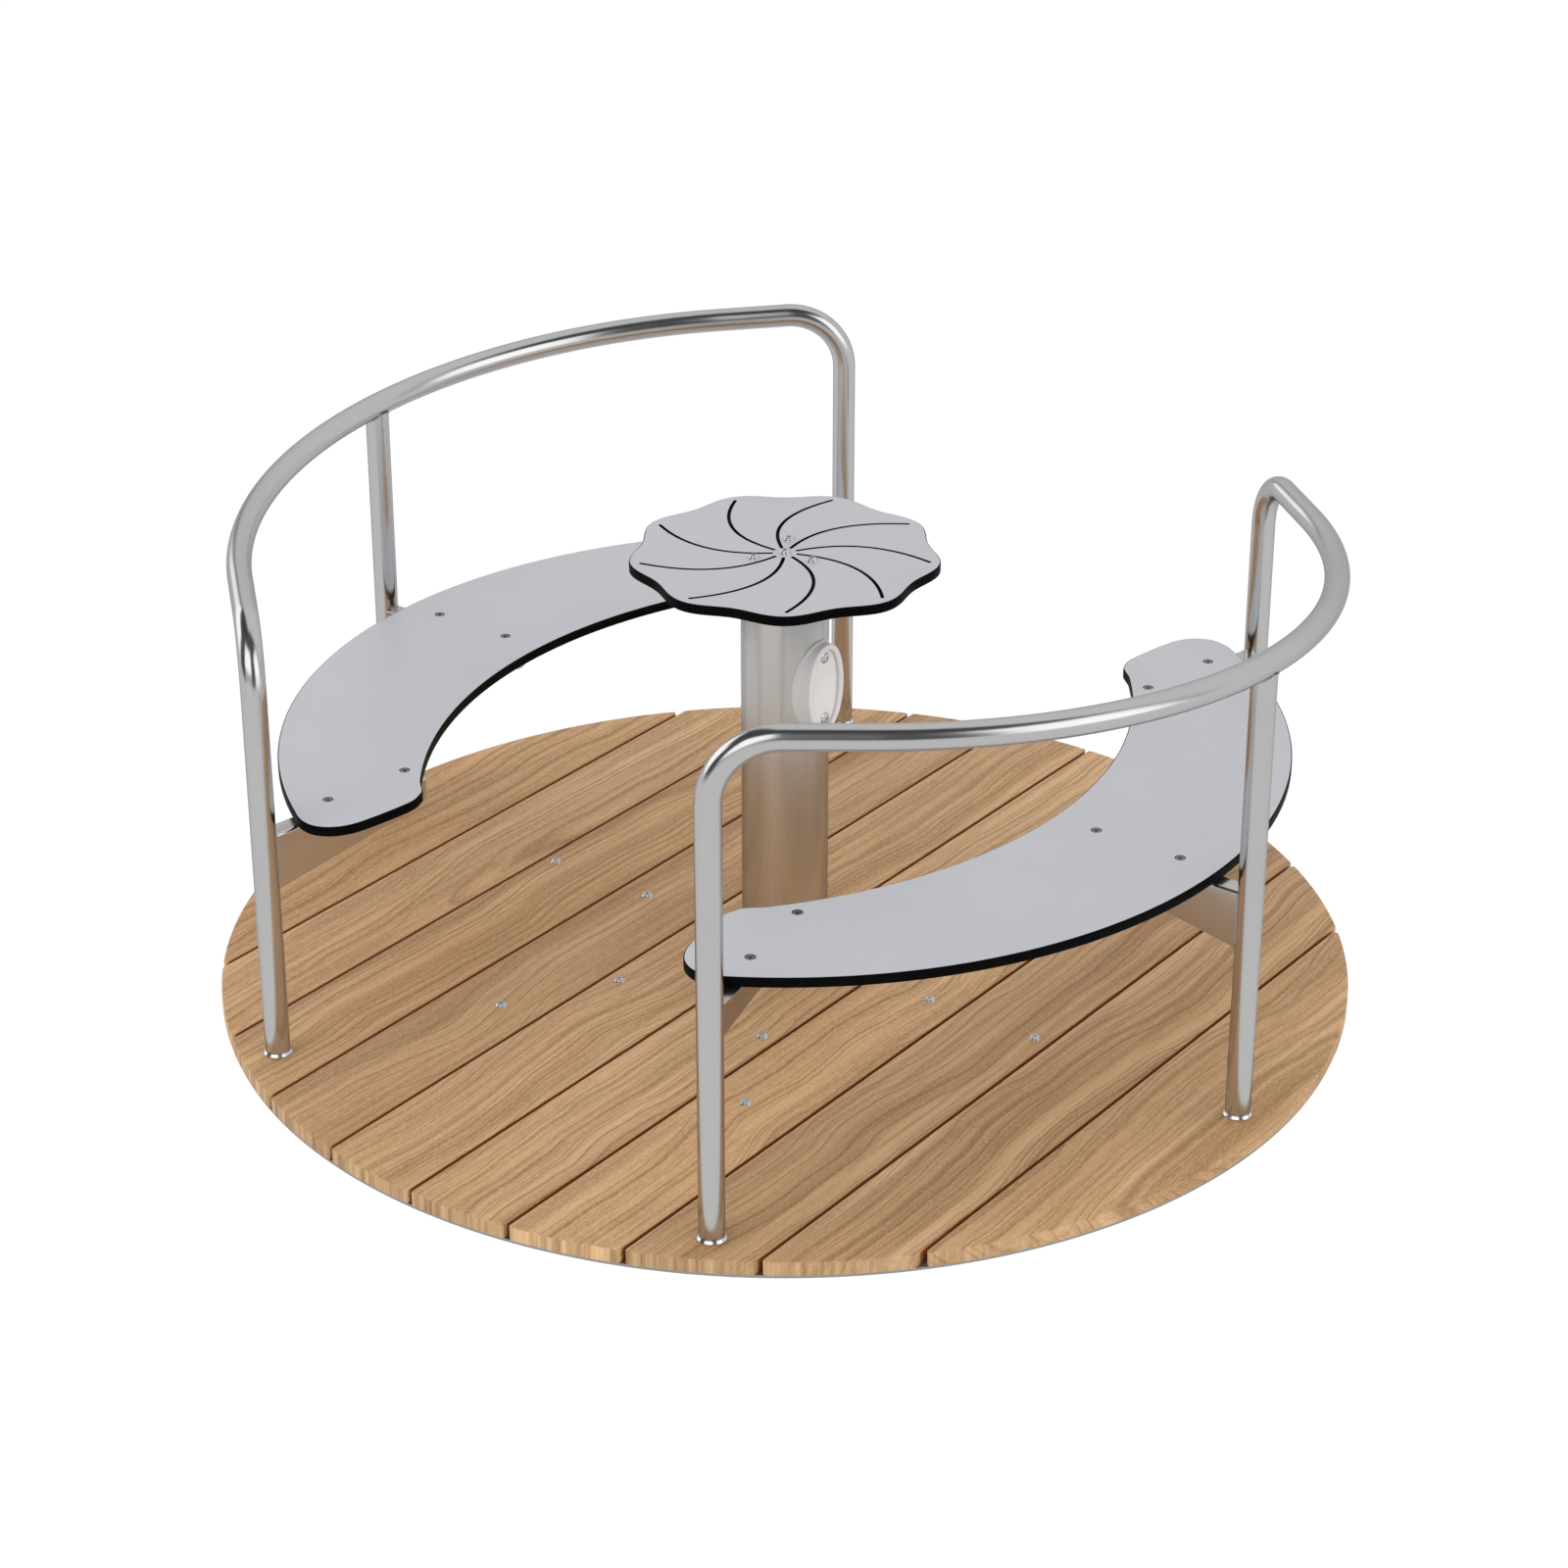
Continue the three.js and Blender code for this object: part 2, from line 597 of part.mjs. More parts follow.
// ----------------------------------------------------------- turning: benches
const SEAT_TOP = DECK_TOP + 326.5;
const SEAT_T = 13;
const SEAT_Z0 = SEAT_TOP - SEAT_T;
const SEAT_OUTER_R = 657.5;
const SEAT_OUTER_HALF_ANGLE = Math.atan2(561, 343);
const SEAT_INNER_R = 633;        // inner edge arc
const SEAT_INNER_X = -214;       // its centre
const SEAT_INNER_END_Y = 402;    // it runs between y = +402 and -402

// Rounded +Y end of seat A as [x, y], from the outer edge to the inner edge.
const SEAT_END = [
  [330, 568.8], [315, 573.6], [300, 574.2], [285, 568.2], [273, 558],
  [263.5, 543], [258, 526], [253, 502], [248.5, 475], [246, 455],
  [246.6, 443], [250, 431.5], [256, 419.5],
];

// Distances along a bracket are from its post axis.
const BRACKET_HALF_WIDTH = 12.5;
const BRACKET_T = 3;
const BRACKET_START = TUBE_R + GAP + 0.4;
const BRACKET_END = 245;
const BRACKET_DEPTH_AT_POST = 75;
const BRACKET_DEPTH_AT_END = 36;
const BRACKET_HOLE_R = 3.6;
const SEAT_SCREWS = [100.5, 221.5];
const FLANGE_Z1 = SEAT_Z0 - GAP;
const FLANGE_Z0 = FLANGE_Z1 - BRACKET_T;
const SEAT_STRIP_OVERHANG = 12;
const SEAT_STRIP_HALF_WIDTH = 8.5;

// The three brackets of a bench: turn away from pointing at the axis, and the
// side of the web in the bracket's own Y. End webs face the ends of the bench.
const BENCH_BRACKETS = [
  { turn: -20 * DEG, webSide: 1 },
  { turn: 0, webSide: 1 },
  { turn: 20 * DEG, webSide: -1 },
];

const brackets = POST_ANGLES.map((angle, i) => {
  const { turn, webSide } = BENCH_BRACKETS[i % 3];
  const [x, y] = posts[i];
  return { placing: { x, y, turn: angle + Math.PI + turn }, webSide };
});

function seatScrewPoints({ placing: { x, y, turn } }) {
  return SEAT_SCREWS.map((along) => [x + Math.cos(turn) * along, y + Math.sin(turn) * along]);
}

// Countersunk screw, or its clearance cutter when grown.
function seatScrew([x, y], grow = 0) {
  const z0 = FLANGE_Z0 - 3.4 - grow;
  const z1 = SEAT_TOP + (grow ? 2 : 0);
  return moved(turned([
    [0, z0], [3.2 + grow, z0], [3.2 + grow, SEAT_TOP - 4.4],
    [6.8 + grow, SEAT_TOP - 0.6], [6.8 + grow, z1], [0, z1],
  ], 8), { x, y });
}

function seatOutline() {
  const spans = 9;
  const innerEdge = Array.from({ length: spans + 1 }, (_, i) => {
    const y = SEAT_INNER_END_Y - (2 * SEAT_INNER_END_Y * i) / spans;
    return [SEAT_INNER_X + Math.sqrt(SEAT_INNER_R ** 2 - y * y), y];
  });
  return [
    ...arcPoints(SEAT_OUTER_R, -SEAT_OUTER_HALF_ANGLE, SEAT_OUTER_HALF_ANGLE, 14),
    ...SEAT_END,
    ...innerEdge,
    ...SEAT_END.toReversed().map(([x, y]) => [x, -y]),
  ];
}

function seatPanel() {
  const points = brackets.slice(0, 3).flatMap(seatScrewPoints);
  return cut(prism(seatOutline(), SEAT_Z0, SEAT_TOP),
    ...points.map((point) => seatScrew(point, GAP)));
}

// Folded angle: a flat flange under the seat and a tapering web.
function seatBracket({ placing, webSide }) {
  const flange = bar(BRACKET_START, BRACKET_END, BRACKET_HALF_WIDTH, FLANGE_Z0, FLANGE_Z1);
  const webY1 = webSide > 0 ? BRACKET_HALF_WIDTH : BRACKET_T - BRACKET_HALF_WIDTH;
  const web = sidePrism([
    [BRACKET_START, FLANGE_Z1 - BRACKET_DEPTH_AT_POST],
    [BRACKET_END, FLANGE_Z1 - BRACKET_DEPTH_AT_END],
    [BRACKET_END, FLANGE_Z1 - 1],
    [BRACKET_START, FLANGE_Z1 - 1],
  ], webY1 - BRACKET_T, webY1);
  const holes = SEAT_SCREWS.map((along) => bore(
    BRACKET_HOLE_R, FLANGE_Z0 - 5, FLANGE_Z1 + 5, 8, along, 0));
  return moved(cut(unite(flange, web), ...holes), placing);
}

// Two seat screws and the tapped strip they pull up under the flange.
function seatScrewPair(bracket) {
  const stripZ1 = FLANGE_Z0 - GAP;
  const strip = bar(SEAT_SCREWS[0] - SEAT_STRIP_OVERHANG, SEAT_SCREWS[1] + SEAT_STRIP_OVERHANG,
    SEAT_STRIP_HALF_WIDTH, stripZ1 - STRIP_T, stripZ1);
  const screws = seatScrewPoints(bracket).map((point) => seatScrew(point));
  return unite(moved(strip, bracket.placing), ...screws);
}

const seat = seatPanel();
put(turning, 'seat_a', seat, 'panel');
put(turning, 'seat_b', moved(seat, { turn: Math.PI }), 'panel');
brackets.forEach((bracket, i) => {
  put(turning, `seat_bracket_${i + 1}`, seatBracket(bracket), 'stainless');
  put(turning, `seat_screw_pair_${i + 1}`, seatScrewPair(bracket), 'stainless');
});

export default merryGoRound;
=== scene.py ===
# A turning play platform: a round timber deck on bearings, with two curved benches and two
# bent handrails, round a fixed column that carries a hand table and a label plate.
# +Z is up along the column and z = 0 is the underside of the base flange. Bench and handrail
# "a" stand on the +X side, "b" on the -X side. The deck boards run along Y.
# Pieces are drawn in millimetres and made in metres; materials and studio are in metres.
import math
from math import atan2, cos, sin, sqrt

import bpy
import bmesh
import numpy as np
from mathutils import Matrix, Vector
from mathutils.geometry import delaunay_2d_cdt


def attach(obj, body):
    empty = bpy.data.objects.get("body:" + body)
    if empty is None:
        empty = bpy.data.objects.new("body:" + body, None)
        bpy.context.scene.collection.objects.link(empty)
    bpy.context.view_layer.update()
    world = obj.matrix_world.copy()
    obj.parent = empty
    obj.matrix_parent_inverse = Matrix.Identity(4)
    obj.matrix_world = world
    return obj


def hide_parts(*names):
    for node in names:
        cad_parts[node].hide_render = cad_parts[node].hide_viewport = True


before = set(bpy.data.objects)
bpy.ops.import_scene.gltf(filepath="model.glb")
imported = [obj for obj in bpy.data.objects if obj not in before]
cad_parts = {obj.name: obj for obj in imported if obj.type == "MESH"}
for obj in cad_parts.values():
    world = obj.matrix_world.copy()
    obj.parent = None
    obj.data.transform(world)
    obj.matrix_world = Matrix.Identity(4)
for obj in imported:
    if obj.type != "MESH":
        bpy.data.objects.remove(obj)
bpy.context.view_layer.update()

scene = bpy.context.scene
MM = 0.001
PI, TAU = math.pi, 2 * math.pi
DEG = PI / 180

# ---------------------------------------------------------------- shared dimensions (mm)
GAP = 0.3                       # between neighbouring pieces
DECK_TOP, DECK_R = 128.0, 750.0
PLANK_T, DISC_T, ARM_T = 19.0, 4.0, 4.0
PLANK_Z0 = DECK_TOP - PLANK_T
DISC_Z1 = PLANK_Z0 - GAP
DISC_Z0 = DISC_Z1 - DISC_T
FRAME_TOP = DISC_Z0 - GAP

COLUMN_R, COLUMN_WALL = 57.15, 4.0
BASE_T = 12.0
TABLE_T, TABLE_TOP = 13.0, DECK_TOP + 575.0
TABLE_Z0 = TABLE_TOP - TABLE_T
MOUNT_T = 8.0                   # disc under the hand table
MOUNT_TOP = TABLE_Z0 - GAP

TUBE_R, TUBE_BORE_R = 16.0, 14.0
POST_HOLE_R = TUBE_R + 0.4
POST_PCR = 703.0
DECK_SCREW_RADII = (237.5, 402.0)
DECK_HOLE_R = 4.4
STRIP_T = 5.0                   # tapped strips under the deck and the benches


def polar(radius, angle):
    return (radius * cos(angle), radius * sin(angle))


def around(count):
    """Evenly spaced angles of a full turn."""
    return [k / count * TAU for k in range(count)]


def circle(radius, count):
    return [polar(radius, a) for a in around(count)]


POST_ANGLES = [a * DEG for a in (-60, 0, 60, 120, 180, 240)]
POSTS = [polar(POST_PCR, a) for a in POST_ANGLES]
DECK_SCREWS = [[polar(r, a) for r in DECK_SCREW_RADII] for a in POST_ANGLES]


# -------------------------------------------------------------------------- shader graphs
class Wire:
    """A node output. Arithmetic on it adds Math nodes."""

    def __init__(self, graph, socket):
        self.graph, self.socket = graph, socket

    def __add__(self, other):
        return self.graph.math("ADD", self, other)

    def __radd__(self, other):
        return self.graph.math("ADD", other, self)

    def __sub__(self, other):
        return self.graph.math("SUBTRACT", self, other)

    def __rsub__(self, other):
        return self.graph.math("SUBTRACT", other, self)

    def __mul__(self, other):
        return self.graph.math("MULTIPLY", self, other)

    def __truediv__(self, other):
        return self.graph.math("DIVIDE", self, other)

    def sway(self, by):
        """A noise centred on zero and scaled."""
        return (self - 0.5) * by

    def fit(self, span, to=(0.0, 1.0), smooth=False):
        """Maps the input span to the output range."""
        kind = "SMOOTHSTEP" if smooth else "LINEAR"
        node = self.graph.node("ShaderNodeMapRange", interpolation_type=kind)
        self.graph.put(node.inputs["Value"], self)
        for key, value in zip(("From Min", "From Max", "To Min", "To Max"), (*span, *to)):
            node.inputs[key].default_value = value
        return Wire(self.graph, node.outputs[0])


class Graph:
    """A node tree, emptied, and short names for the nodes it is made of."""

    def __init__(self, tree):
        self.tree = tree
        tree.nodes.clear()

    def node(self, kind, **properties):
        node = self.tree.nodes.new(kind)
        for key, value in properties.items():
            setattr(node, key, value)
        return node

    def put(self, socket, value):
        if isinstance(value, Wire):
            self.tree.links.new(value.socket, socket)
        else:
            socket.default_value = value

    def source(self, kind, output, **properties):
        """One output of a new input node."""
        return Wire(self, self.node(kind, **properties).outputs[output])

    def math(self, operation, *values):
        node = self.node("ShaderNodeMath", operation=operation)
        for socket, value in zip(node.inputs, values):
            self.put(socket, value)
        return Wire(self, node.outputs[0])

    def vmath(self, operation, first, second, output=0):
        node = self.node("ShaderNodeVectorMath", operation=operation)
        self.put(node.inputs[0], first)
        self.put(node.inputs[1], second)
        return Wire(self, node.outputs[output])

    def hypot(self, first, second):
        return self.math("SQRT", first * first + second * second)

    def coords(self, kind):
        """Object coordinates, or a named attribute."""
        if kind == "object":
            return self.source("ShaderNodeTexCoord", "Object")
        return self.source("ShaderNodeAttribute", "Vector", attribute_name=kind)

    def split(self, vector):
        node = self.node("ShaderNodeSeparateXYZ")
        self.put(node.inputs[0], vector)
        return [Wire(self, socket) for socket in node.outputs]

    def join(self, *values):
        node = self.node("ShaderNodeCombineXYZ")
        for socket, value in zip(node.inputs, values):
            self.put(socket, value)
        return Wire(self, node.outputs[0])

    def place(self, point, stretch, shift=(0, 0, 0)):
        return self.vmath("ADD", self.vmath("MULTIPLY", point, stretch), shift)

    def noise(self, point, stretch=None, shift=(0, 0, 0), scale=1.0, detail=2.0, rough=0.5):
        if stretch:
            point = self.place(point, stretch, shift)
        node = self.node("ShaderNodeTexNoise")
        self.put(node.inputs["Vector"], point)
        node.inputs["Scale"].default_value = scale
        node.inputs["Detail"].default_value = detail
        node.inputs["Roughness"].default_value = rough
        return Wire(self, node.outputs["Fac"])

    def line_noise(self, position, scale, detail=0.0):
        node = self.node("ShaderNodeTexNoise", noise_dimensions="1D")
        self.put(node.inputs["W"], position)
        node.inputs["Scale"].default_value = scale
        node.inputs["Detail"].default_value = detail
        return Wire(self, node.outputs["Fac"])

    def cells(self, point, scale, output="Color"):
        node = self.node("ShaderNodeTexVoronoi")
        self.put(node.inputs["Vector"], point)
        node.inputs["Scale"].default_value = scale
        return Wire(self, node.outputs[output])

    def ramp(self, value, stops):
        """Eased grey ramp through (position, level) stops."""
        node = self.node("ShaderNodeValToRGB")
        node.color_ramp.interpolation = "EASE"
        while len(node.color_ramp.elements) < len(stops):
            node.color_ramp.elements.new(0.5)
        for element, (position, level) in zip(node.color_ramp.elements, stops):
            element.position = position
            element.color = (level, level, level, 1)
        self.put(node.inputs[0], value)
        return Wire(self, node.outputs[0])

    def mix(self, base, over, by, amount=None):
        """Blends two colours; amount scales the blend factor."""
        node = self.node("ShaderNodeMix", data_type="RGBA")
        self.put(node.inputs[0], by if amount is None else by * amount)
        for index, color in ((6, base), (7, over)):
            self.put(node.inputs[index], (*color, 1) if isinstance(color, tuple) else color)
        return Wire(self, node.outputs[2])

    def bump(self, height, distance, strength):
        node = self.node("ShaderNodeBump")
        node.inputs["Strength"].default_value = strength
        node.inputs["Distance"].default_value = distance
        self.put(node.inputs["Height"], height)
        return Wire(self, node.outputs[0])

    def emission(self, strength):
        node = self.node("ShaderNodeEmission")
        node.inputs["Color"].default_value = (1.0, 1.0, 1.0, 1.0)
        node.inputs["Strength"].default_value = strength
        return Wire(self, node.outputs[0])

    def mix_shader(self, first, second, by):
        node = self.node("ShaderNodeMixShader")
        for socket, value in zip(node.inputs, (by, first, second)):
            self.put(socket, value)
        return Wire(self, node.outputs[0])


class Surface(Graph):
    """A new material with a Principled shader on its output."""

    def __init__(self, name):
        self.material = bpy.data.materials.new(name)
        self.material.use_nodes = True
        super().__init__(self.material.node_tree)
        self.output = self.node("ShaderNodeOutputMaterial")
        self.principled = self.node("ShaderNodeBsdfPrincipled")
        self.shader = Wire(self, self.principled.outputs[0])
        self.put(self.output.inputs["Surface"], self.shader)

    def set(self, **inputs):
        """Sets Principled inputs and returns the material."""
        for key, value in inputs.items():
            self.put(self.principled.inputs[key.replace("_", " ")], value)
        return self.material

    def normal(self):
        return self.split(self.source("ShaderNodeNewGeometry", "True Normal"))


def dim(color, factor):
    return tuple(c * factor for c in color)


# ------------------------------------------------------------------------------ materials
def wood(name, pith, depth, lean, seed, tone, ring, warmth):
    """Rift-sawn hardwood: the growth rings of a leaning log cut by the plank, broad light
    and dark bands, fibres and pores."""
    mat = Surface(name)
    mix = mat.mix
    point = mat.coords("object")
    x, y, z = mat.split(point)
    top = DECK_TOP * MM
    shift = (seed * 1.37, seed * 2.11, seed * 0.73)

    def noise(across, along, detail, rough=0.5, order=(0, 1, 2)):
        """Noise stretched along the board; order shuffles the seed's shift."""
        return mat.noise(point, stretch=(across, along, across),
                         shift=tuple(shift[i] for i in order), detail=detail, rough=rough)

    def toned(red, green, blue):
        return (red * tone, green * tone, blue * tone)

    # distance from the wandering centre line of the log
    wander_x = noise(across=1.6, along=2.3, detail=1)
    wander_z = noise(across=1.5, along=2.0, detail=1, order=(1, 2, 0))
    ripple = noise(across=5.5, along=6.5, detail=1.5, rough=0.45, order=(2, 0, 1))
    wobble = noise(across=30, along=5.5, detail=2, rough=0.55)
    pith_x = x - pith + wander_x.sway(by=0.085) + ripple.sway(by=0.034)
    pith_z = y * lean + (z - (top - depth) + wander_z.sway(by=0.05))
    radius = mat.hypot(pith_x, pith_z) + wobble.sway(by=0.0042)

    # rings counted outwards, unevenly spaced, some years darker than others
    years = radius / ring + mat.line_noise(radius + seed, scale=42, detail=1) * 3.2
    phase = mat.math("FRACT", years)
    late = mat.ramp(phase, [(0.0, 0.30), (0.09, 0.0), (0.40, 0.06), (0.72, 0.42), (0.90, 1.0),
                            (1.0, 0.45)])
    year_tone = mat.line_noise(mat.math("FLOOR", years) + seed * 3.1, scale=0.77)
    late = late * year_tone.fit(span=(0.32, 0.68), to=(0.18, 1.0))
    # three fine lines to each ring, in patches
    thin = mat.ramp(mat.math("FRACT", years * 3.0),
                    [(0.0, 0.0), (0.6, 0.1), (0.88, 1.0), (1.0, 0.0)])
    thin = thin * noise(across=14, along=2.2, detail=1).fit(span=(0.45, 0.62))
    band = mat.line_noise(radius + seed * 1.9, scale=17, detail=1.5).fit(span=(0.40, 0.62))

    fibre = noise(across=560, along=14, detail=3, rough=0.6)
    streak = noise(across=110, along=3.0, detail=2, rough=0.55)
    broad = noise(across=8.5, along=1.5, detail=2, rough=0.55)
    speck = noise(across=620, along=160, detail=2, rough=0.6)
    pores = noise(across=820, along=42, detail=1).fit(span=(0.60, 0.72))
    pores = pores * phase.fit(span=(0.0, 0.45), to=(1.0, 0.3))
    pink = noise(across=5.0, along=1.1, detail=1.5, order=(1, 0, 2))

    light = mix(toned(0.742, 0.484 - 0.010 * warmth, 0.264 - 0.014 * warmth),
                toned(0.732, 0.438, 0.268), by=pink.fit(span=(0.50, 0.72), to=(0.0, 0.6)))
    middle = toned(0.602, 0.360 - 0.006 * warmth, 0.172 - 0.006 * warmth)
    tan = toned(0.474, 0.274 - 0.004 * warmth, 0.120 - 0.004 * warmth)
    dark = toned(0.225, 0.112, 0.042)
    color = mix(light, middle, by=broad.fit(span=(0.34, 0.66)))
    color = mix(color, tan, by=band, amount=0.80)
    color = mix(color, tan, by=broad.fit(span=(0.52, 0.74)), amount=0.45)
    color = mix(color, dark, by=late, amount=0.96)
    color = mix(color, dark, by=thin, amount=0.54)
    color = mix(color, dark, by=streak.fit(span=(0.44, 0.72)), amount=0.48)
    color = mix(color, toned(0.24, 0.124, 0.050), by=fibre.fit(span=(0.25, 0.8), to=(0.0, 0.34)))
    color = mix(color, toned(0.82, 0.58, 0.36), by=speck.fit(span=(0.42, 0.72), to=(0.0, 0.30)))
    color = mix(color, toned(0.15, 0.075, 0.030), by=pores, amount=0.40)

    # painted shade: darker, reddish flanks where the planks face each other, in the gaps between
    # them
    sideways = mat.math("ABSOLUTE", mat.normal()[0]).fit(span=(0.86, 0.97))
    below_top = z.fit(span=(0.1252, top), to=(1.0, 0.0), smooth=True)
    from_axis = mat.hypot(x, y)
    painted_gap_shade = sideways * below_top * from_axis.fit(span=(0.742, 0.746), to=(1.0, 0.0))
    color = mix(color, (0.250, 0.066, 0.012), by=painted_gap_shade, amount=0.95)

    # end grain: short upright streaks on the rim where it crosses the boards
    upward = mat.normal()[2]
    rim = from_axis.fit(span=(0.7455, 0.7475)) * upward.fit(span=(0.5, 0.8), to=(1.0, 0.0))
    rim = rim * (mat.math("ABSOLUTE", y) / from_axis).fit(span=(0.38, 0.85))
    upright = mat.noise(point, stretch=(115, 115, 2.5), shift=shift, detail=2.5, rough=0.6)
    end_grain = mix(toned(0.300, 0.170, 0.075), toned(0.680, 0.450, 0.245),
                    by=upright.fit(span=(0.36, 0.64)))
    color = mix(color, end_grain, by=rim, amount=0.75)

    height = late * 0.35 + (fibre * 0.5 + pores * -0.9)
    return mat.set(Base_Color=color, Roughness=fibre.fit(span=(0.2, 0.8), to=(0.50, 0.66)),
                   Normal=mat.bump(height, distance=0.00022, strength=0.5),
                   Specular_IOR_Level=0.30)


def steel(name, base, rough, lines=0.35, coords="grain", tint=(1.0, 0.999, 0.996)):
    """Ground and polished stainless steel with faint lines running along the piece."""
    mat = Surface(name)
    point = mat.coords(coords)
    fine = mat.noise(point, stretch=(1500, 1500, 5))
    long = mat.noise(point, stretch=(90, 90, 1.2))
    cloud = mat.noise(point, stretch=(9, 9, 5), detail=3, rough=0.55)
    smudge = mat.noise(point, stretch=(22, 22, 12), shift=(3, 1, 7), detail=4, rough=0.6)
    metal = dim(tint, base)
    color = mat.mix(metal, dim(metal, 0.965), by=cloud.fit(span=(0.3, 0.7)))
    color = mat.mix(color, dim(metal, 0.82), by=fine.fit(span=(0.35, 0.75), to=(0.0, 0.07)))
    roughness = (long.fit(span=(0.3, 0.7), to=(rough - 0.015, rough + 0.025))
                 + smudge.fit(span=(0.48, 0.8)) * 0.035)
    return mat.set(Base_Color=color, Metallic=1.0, Roughness=roughness,
                   Normal=mat.bump(fine + long * 0.5, distance=0.000012, strength=lines),
                   Specular_Tint=(0.62, 0.62, 0.63, 1.0))


def galvanised(name):
    """Hot-dip zinc: crystal spangle in two sizes and dull patches."""
    mat = Surface(name)
    point = mat.coords("object")
    # a warp of strength zero: raise it to bend the spangle
    warp = mat.vmath("MULTIPLY", mat.source("ShaderNodeTexNoise", "Color"), (0.0, 0.0, 0.0))
    warped = mat.vmath("ADD", point, warp)
    spangle = mat.split(mat.cells(warped, scale=85.0))[0]
    small = mat.split(mat.cells(warped, scale=240.0))[1]
    dull = mat.noise(point, stretch=(5, 5, 5), detail=4, rough=0.6)
    grit = mat.noise(point, scale=650.0)
    color = mat.mix((0.36, 0.375, 0.39), (0.52, 0.535, 0.55), by=spangle.fit(span=(0.1, 0.9)))
    color = mat.mix(color, (0.60, 0.61, 0.62), by=small, amount=0.22)
    color = mat.mix(color, (0.40, 0.405, 0.41), by=dull.fit(span=(0.42, 0.68), to=(0.0, 0.55)))
    roughness = (spangle.fit(span=(0, 1), to=(0.34, 0.52))
                 + dull.fit(span=(0.4, 0.7), to=(0.0, 0.14)))
    return mat.set(Base_Color=color, Metallic=0.88, Roughness=roughness,
                   Normal=mat.bump(spangle + grit * 0.6, distance=0.00006, strength=0.4))


def laminate(name, level, seed=0.0):
    """High-pressure laminate face: pale lavender grey with a very fine pebbled texture."""
    mat = Surface(name)
    point = mat.coords("object")
    pebble_point = mat.place(point, (1, 1, 1), (seed, 0, 0))
    pebble = mat.split(mat.cells(pebble_point, scale=620.0, output="Distance"))[0]
    speck = mat.noise(point, stretch=(1, 1, 1), shift=(seed, 1, 2), scale=1500.0)
    cloud = mat.noise(point, stretch=(5, 5, 5), shift=(seed, 5, 1), detail=4, rough=0.6)
    rub = mat.noise(point, stretch=(16, 16, 16), shift=(1, seed, 3), detail=5, rough=0.65)
    rub = rub.fit(span=(0.5, 0.85))
    color = mat.mix(dim((0.466, 0.474, 0.507), level), dim((0.486, 0.494, 0.524), level),
                    by=cloud.fit(span=(0.3, 0.7)))
    color = mat.mix(color, (0.42, 0.425, 0.455), by=speck.fit(span=(0.35, 0.7), to=(0.0, 0.10)))
    color = mat.mix(color, (0.56, 0.57, 0.61), by=rub, amount=0.10)
    return mat.set(Base_Color=color, Roughness=0.36 + rub * 0.10,
                   Normal=mat.bump(pebble + speck * 0.4, distance=0.00005, strength=0.35),
                   Specular_IOR_Level=0.45)


def phenolic(name):
    """Black solid core, with the faint layers and tool marks of a routed edge."""
    mat = Surface(name)
    point = mat.coords("object")
    layers = mat.noise(point, stretch=(3, 3, 2600), rough=0.6)
    tool = mat.noise(point, stretch=(420, 420, 14), detail=1)
    dust = mat.noise(point, stretch=(30, 30, 60), detail=4, rough=0.6)
    color = mat.mix((0.0010, 0.0010, 0.0012), (0.0030, 0.0029, 0.0030), by=layers)
    color = mat.mix(color, (0.04, 0.039, 0.038), by=dust.fit(span=(0.5, 0.85)), amount=0.06)
    return mat.set(Base_Color=color, Roughness=tool.fit(span=(0.3, 0.7), to=(0.44, 0.56)),
                   Normal=mat.bump(layers + tool, distance=0.00005, strength=0.3),
                   Specular_IOR_Level=0.035)


def moulded(name, base, rough=0.42, lip=None):
    """Pale moulded plastic with a fine eggshell grain; lip is a lighter colour painted on the lip
    as a painted highlight.
    """
    mat = Surface(name)
    point = mat.coords("object")
    grain = mat.noise(point, scale=1900.0, detail=3)
    cloud = mat.noise(point, scale=26.0, detail=4, rough=0.6)
    color = mat.mix(base, dim(base, 0.93), by=cloud.fit(span=(0.3, 0.75)))
    color = mat.mix(color, dim(base, 0.80), by=grain.fit(span=(0.4, 0.8), to=(0.0, 0.12)))
    # painted highlight: the lip, from x = 65 mm outwards, is blended to the lighter lip colour
    if lip:
        lip_highlight_mask = mat.split(point)[0].fit(span=(0.0650, 0.0685), smooth=True)
        color = mat.mix(color, lip, by=lip_highlight_mask)
    roughness = cloud.fit(span=(0.3, 0.7), to=(rough - 0.04, rough + 0.06))
    return mat.set(Base_Color=color, Roughness=roughness,
                   Normal=mat.bump(grain, distance=0.00005, strength=0.5))


def rubber(name):
    """Dusty black rubber."""
    mat = Surface(name)
    point = mat.coords("object")
    grain = mat.noise(point, scale=900.0, detail=4)
    dust = mat.noise(point, scale=35.0, detail=5, rough=0.65).fit(span=(0.45, 0.8))
    color = mat.mix((0.011, 0.011, 0.0115), (0.024, 0.0235, 0.023), by=grain)
    color = mat.mix(color, (0.085, 0.078, 0.068), by=dust, amount=0.35)
    return mat.set(Base_Color=color, Roughness=dust.fit(span=(0, 1), to=(0.62, 0.86)),
                   Normal=mat.bump(grain, distance=0.00012, strength=0.6))


def machined(name, base=(0.58, 0.585, 0.60), rough=0.16, pitch=5200.0):
    """Turned metal: fine rings round the Z axis."""
    mat = Surface(name)
    point = mat.coords("object")
    x, y, z = mat.split(point)
    lines = mat.noise(mat.join(mat.hypot(x, y), z, 0.0), scale=pitch, detail=1)
    film = mat.noise(point, scale=40.0, detail=4)
    color = mat.mix(base, dim(base, 0.80), by=film.fit(span=(0.35, 0.75)))
    return mat.set(Base_Color=color, Metallic=1.0, Roughness=rough + film * 0.12,
                   Normal=mat.bump(lines, distance=0.00003, strength=0.4))


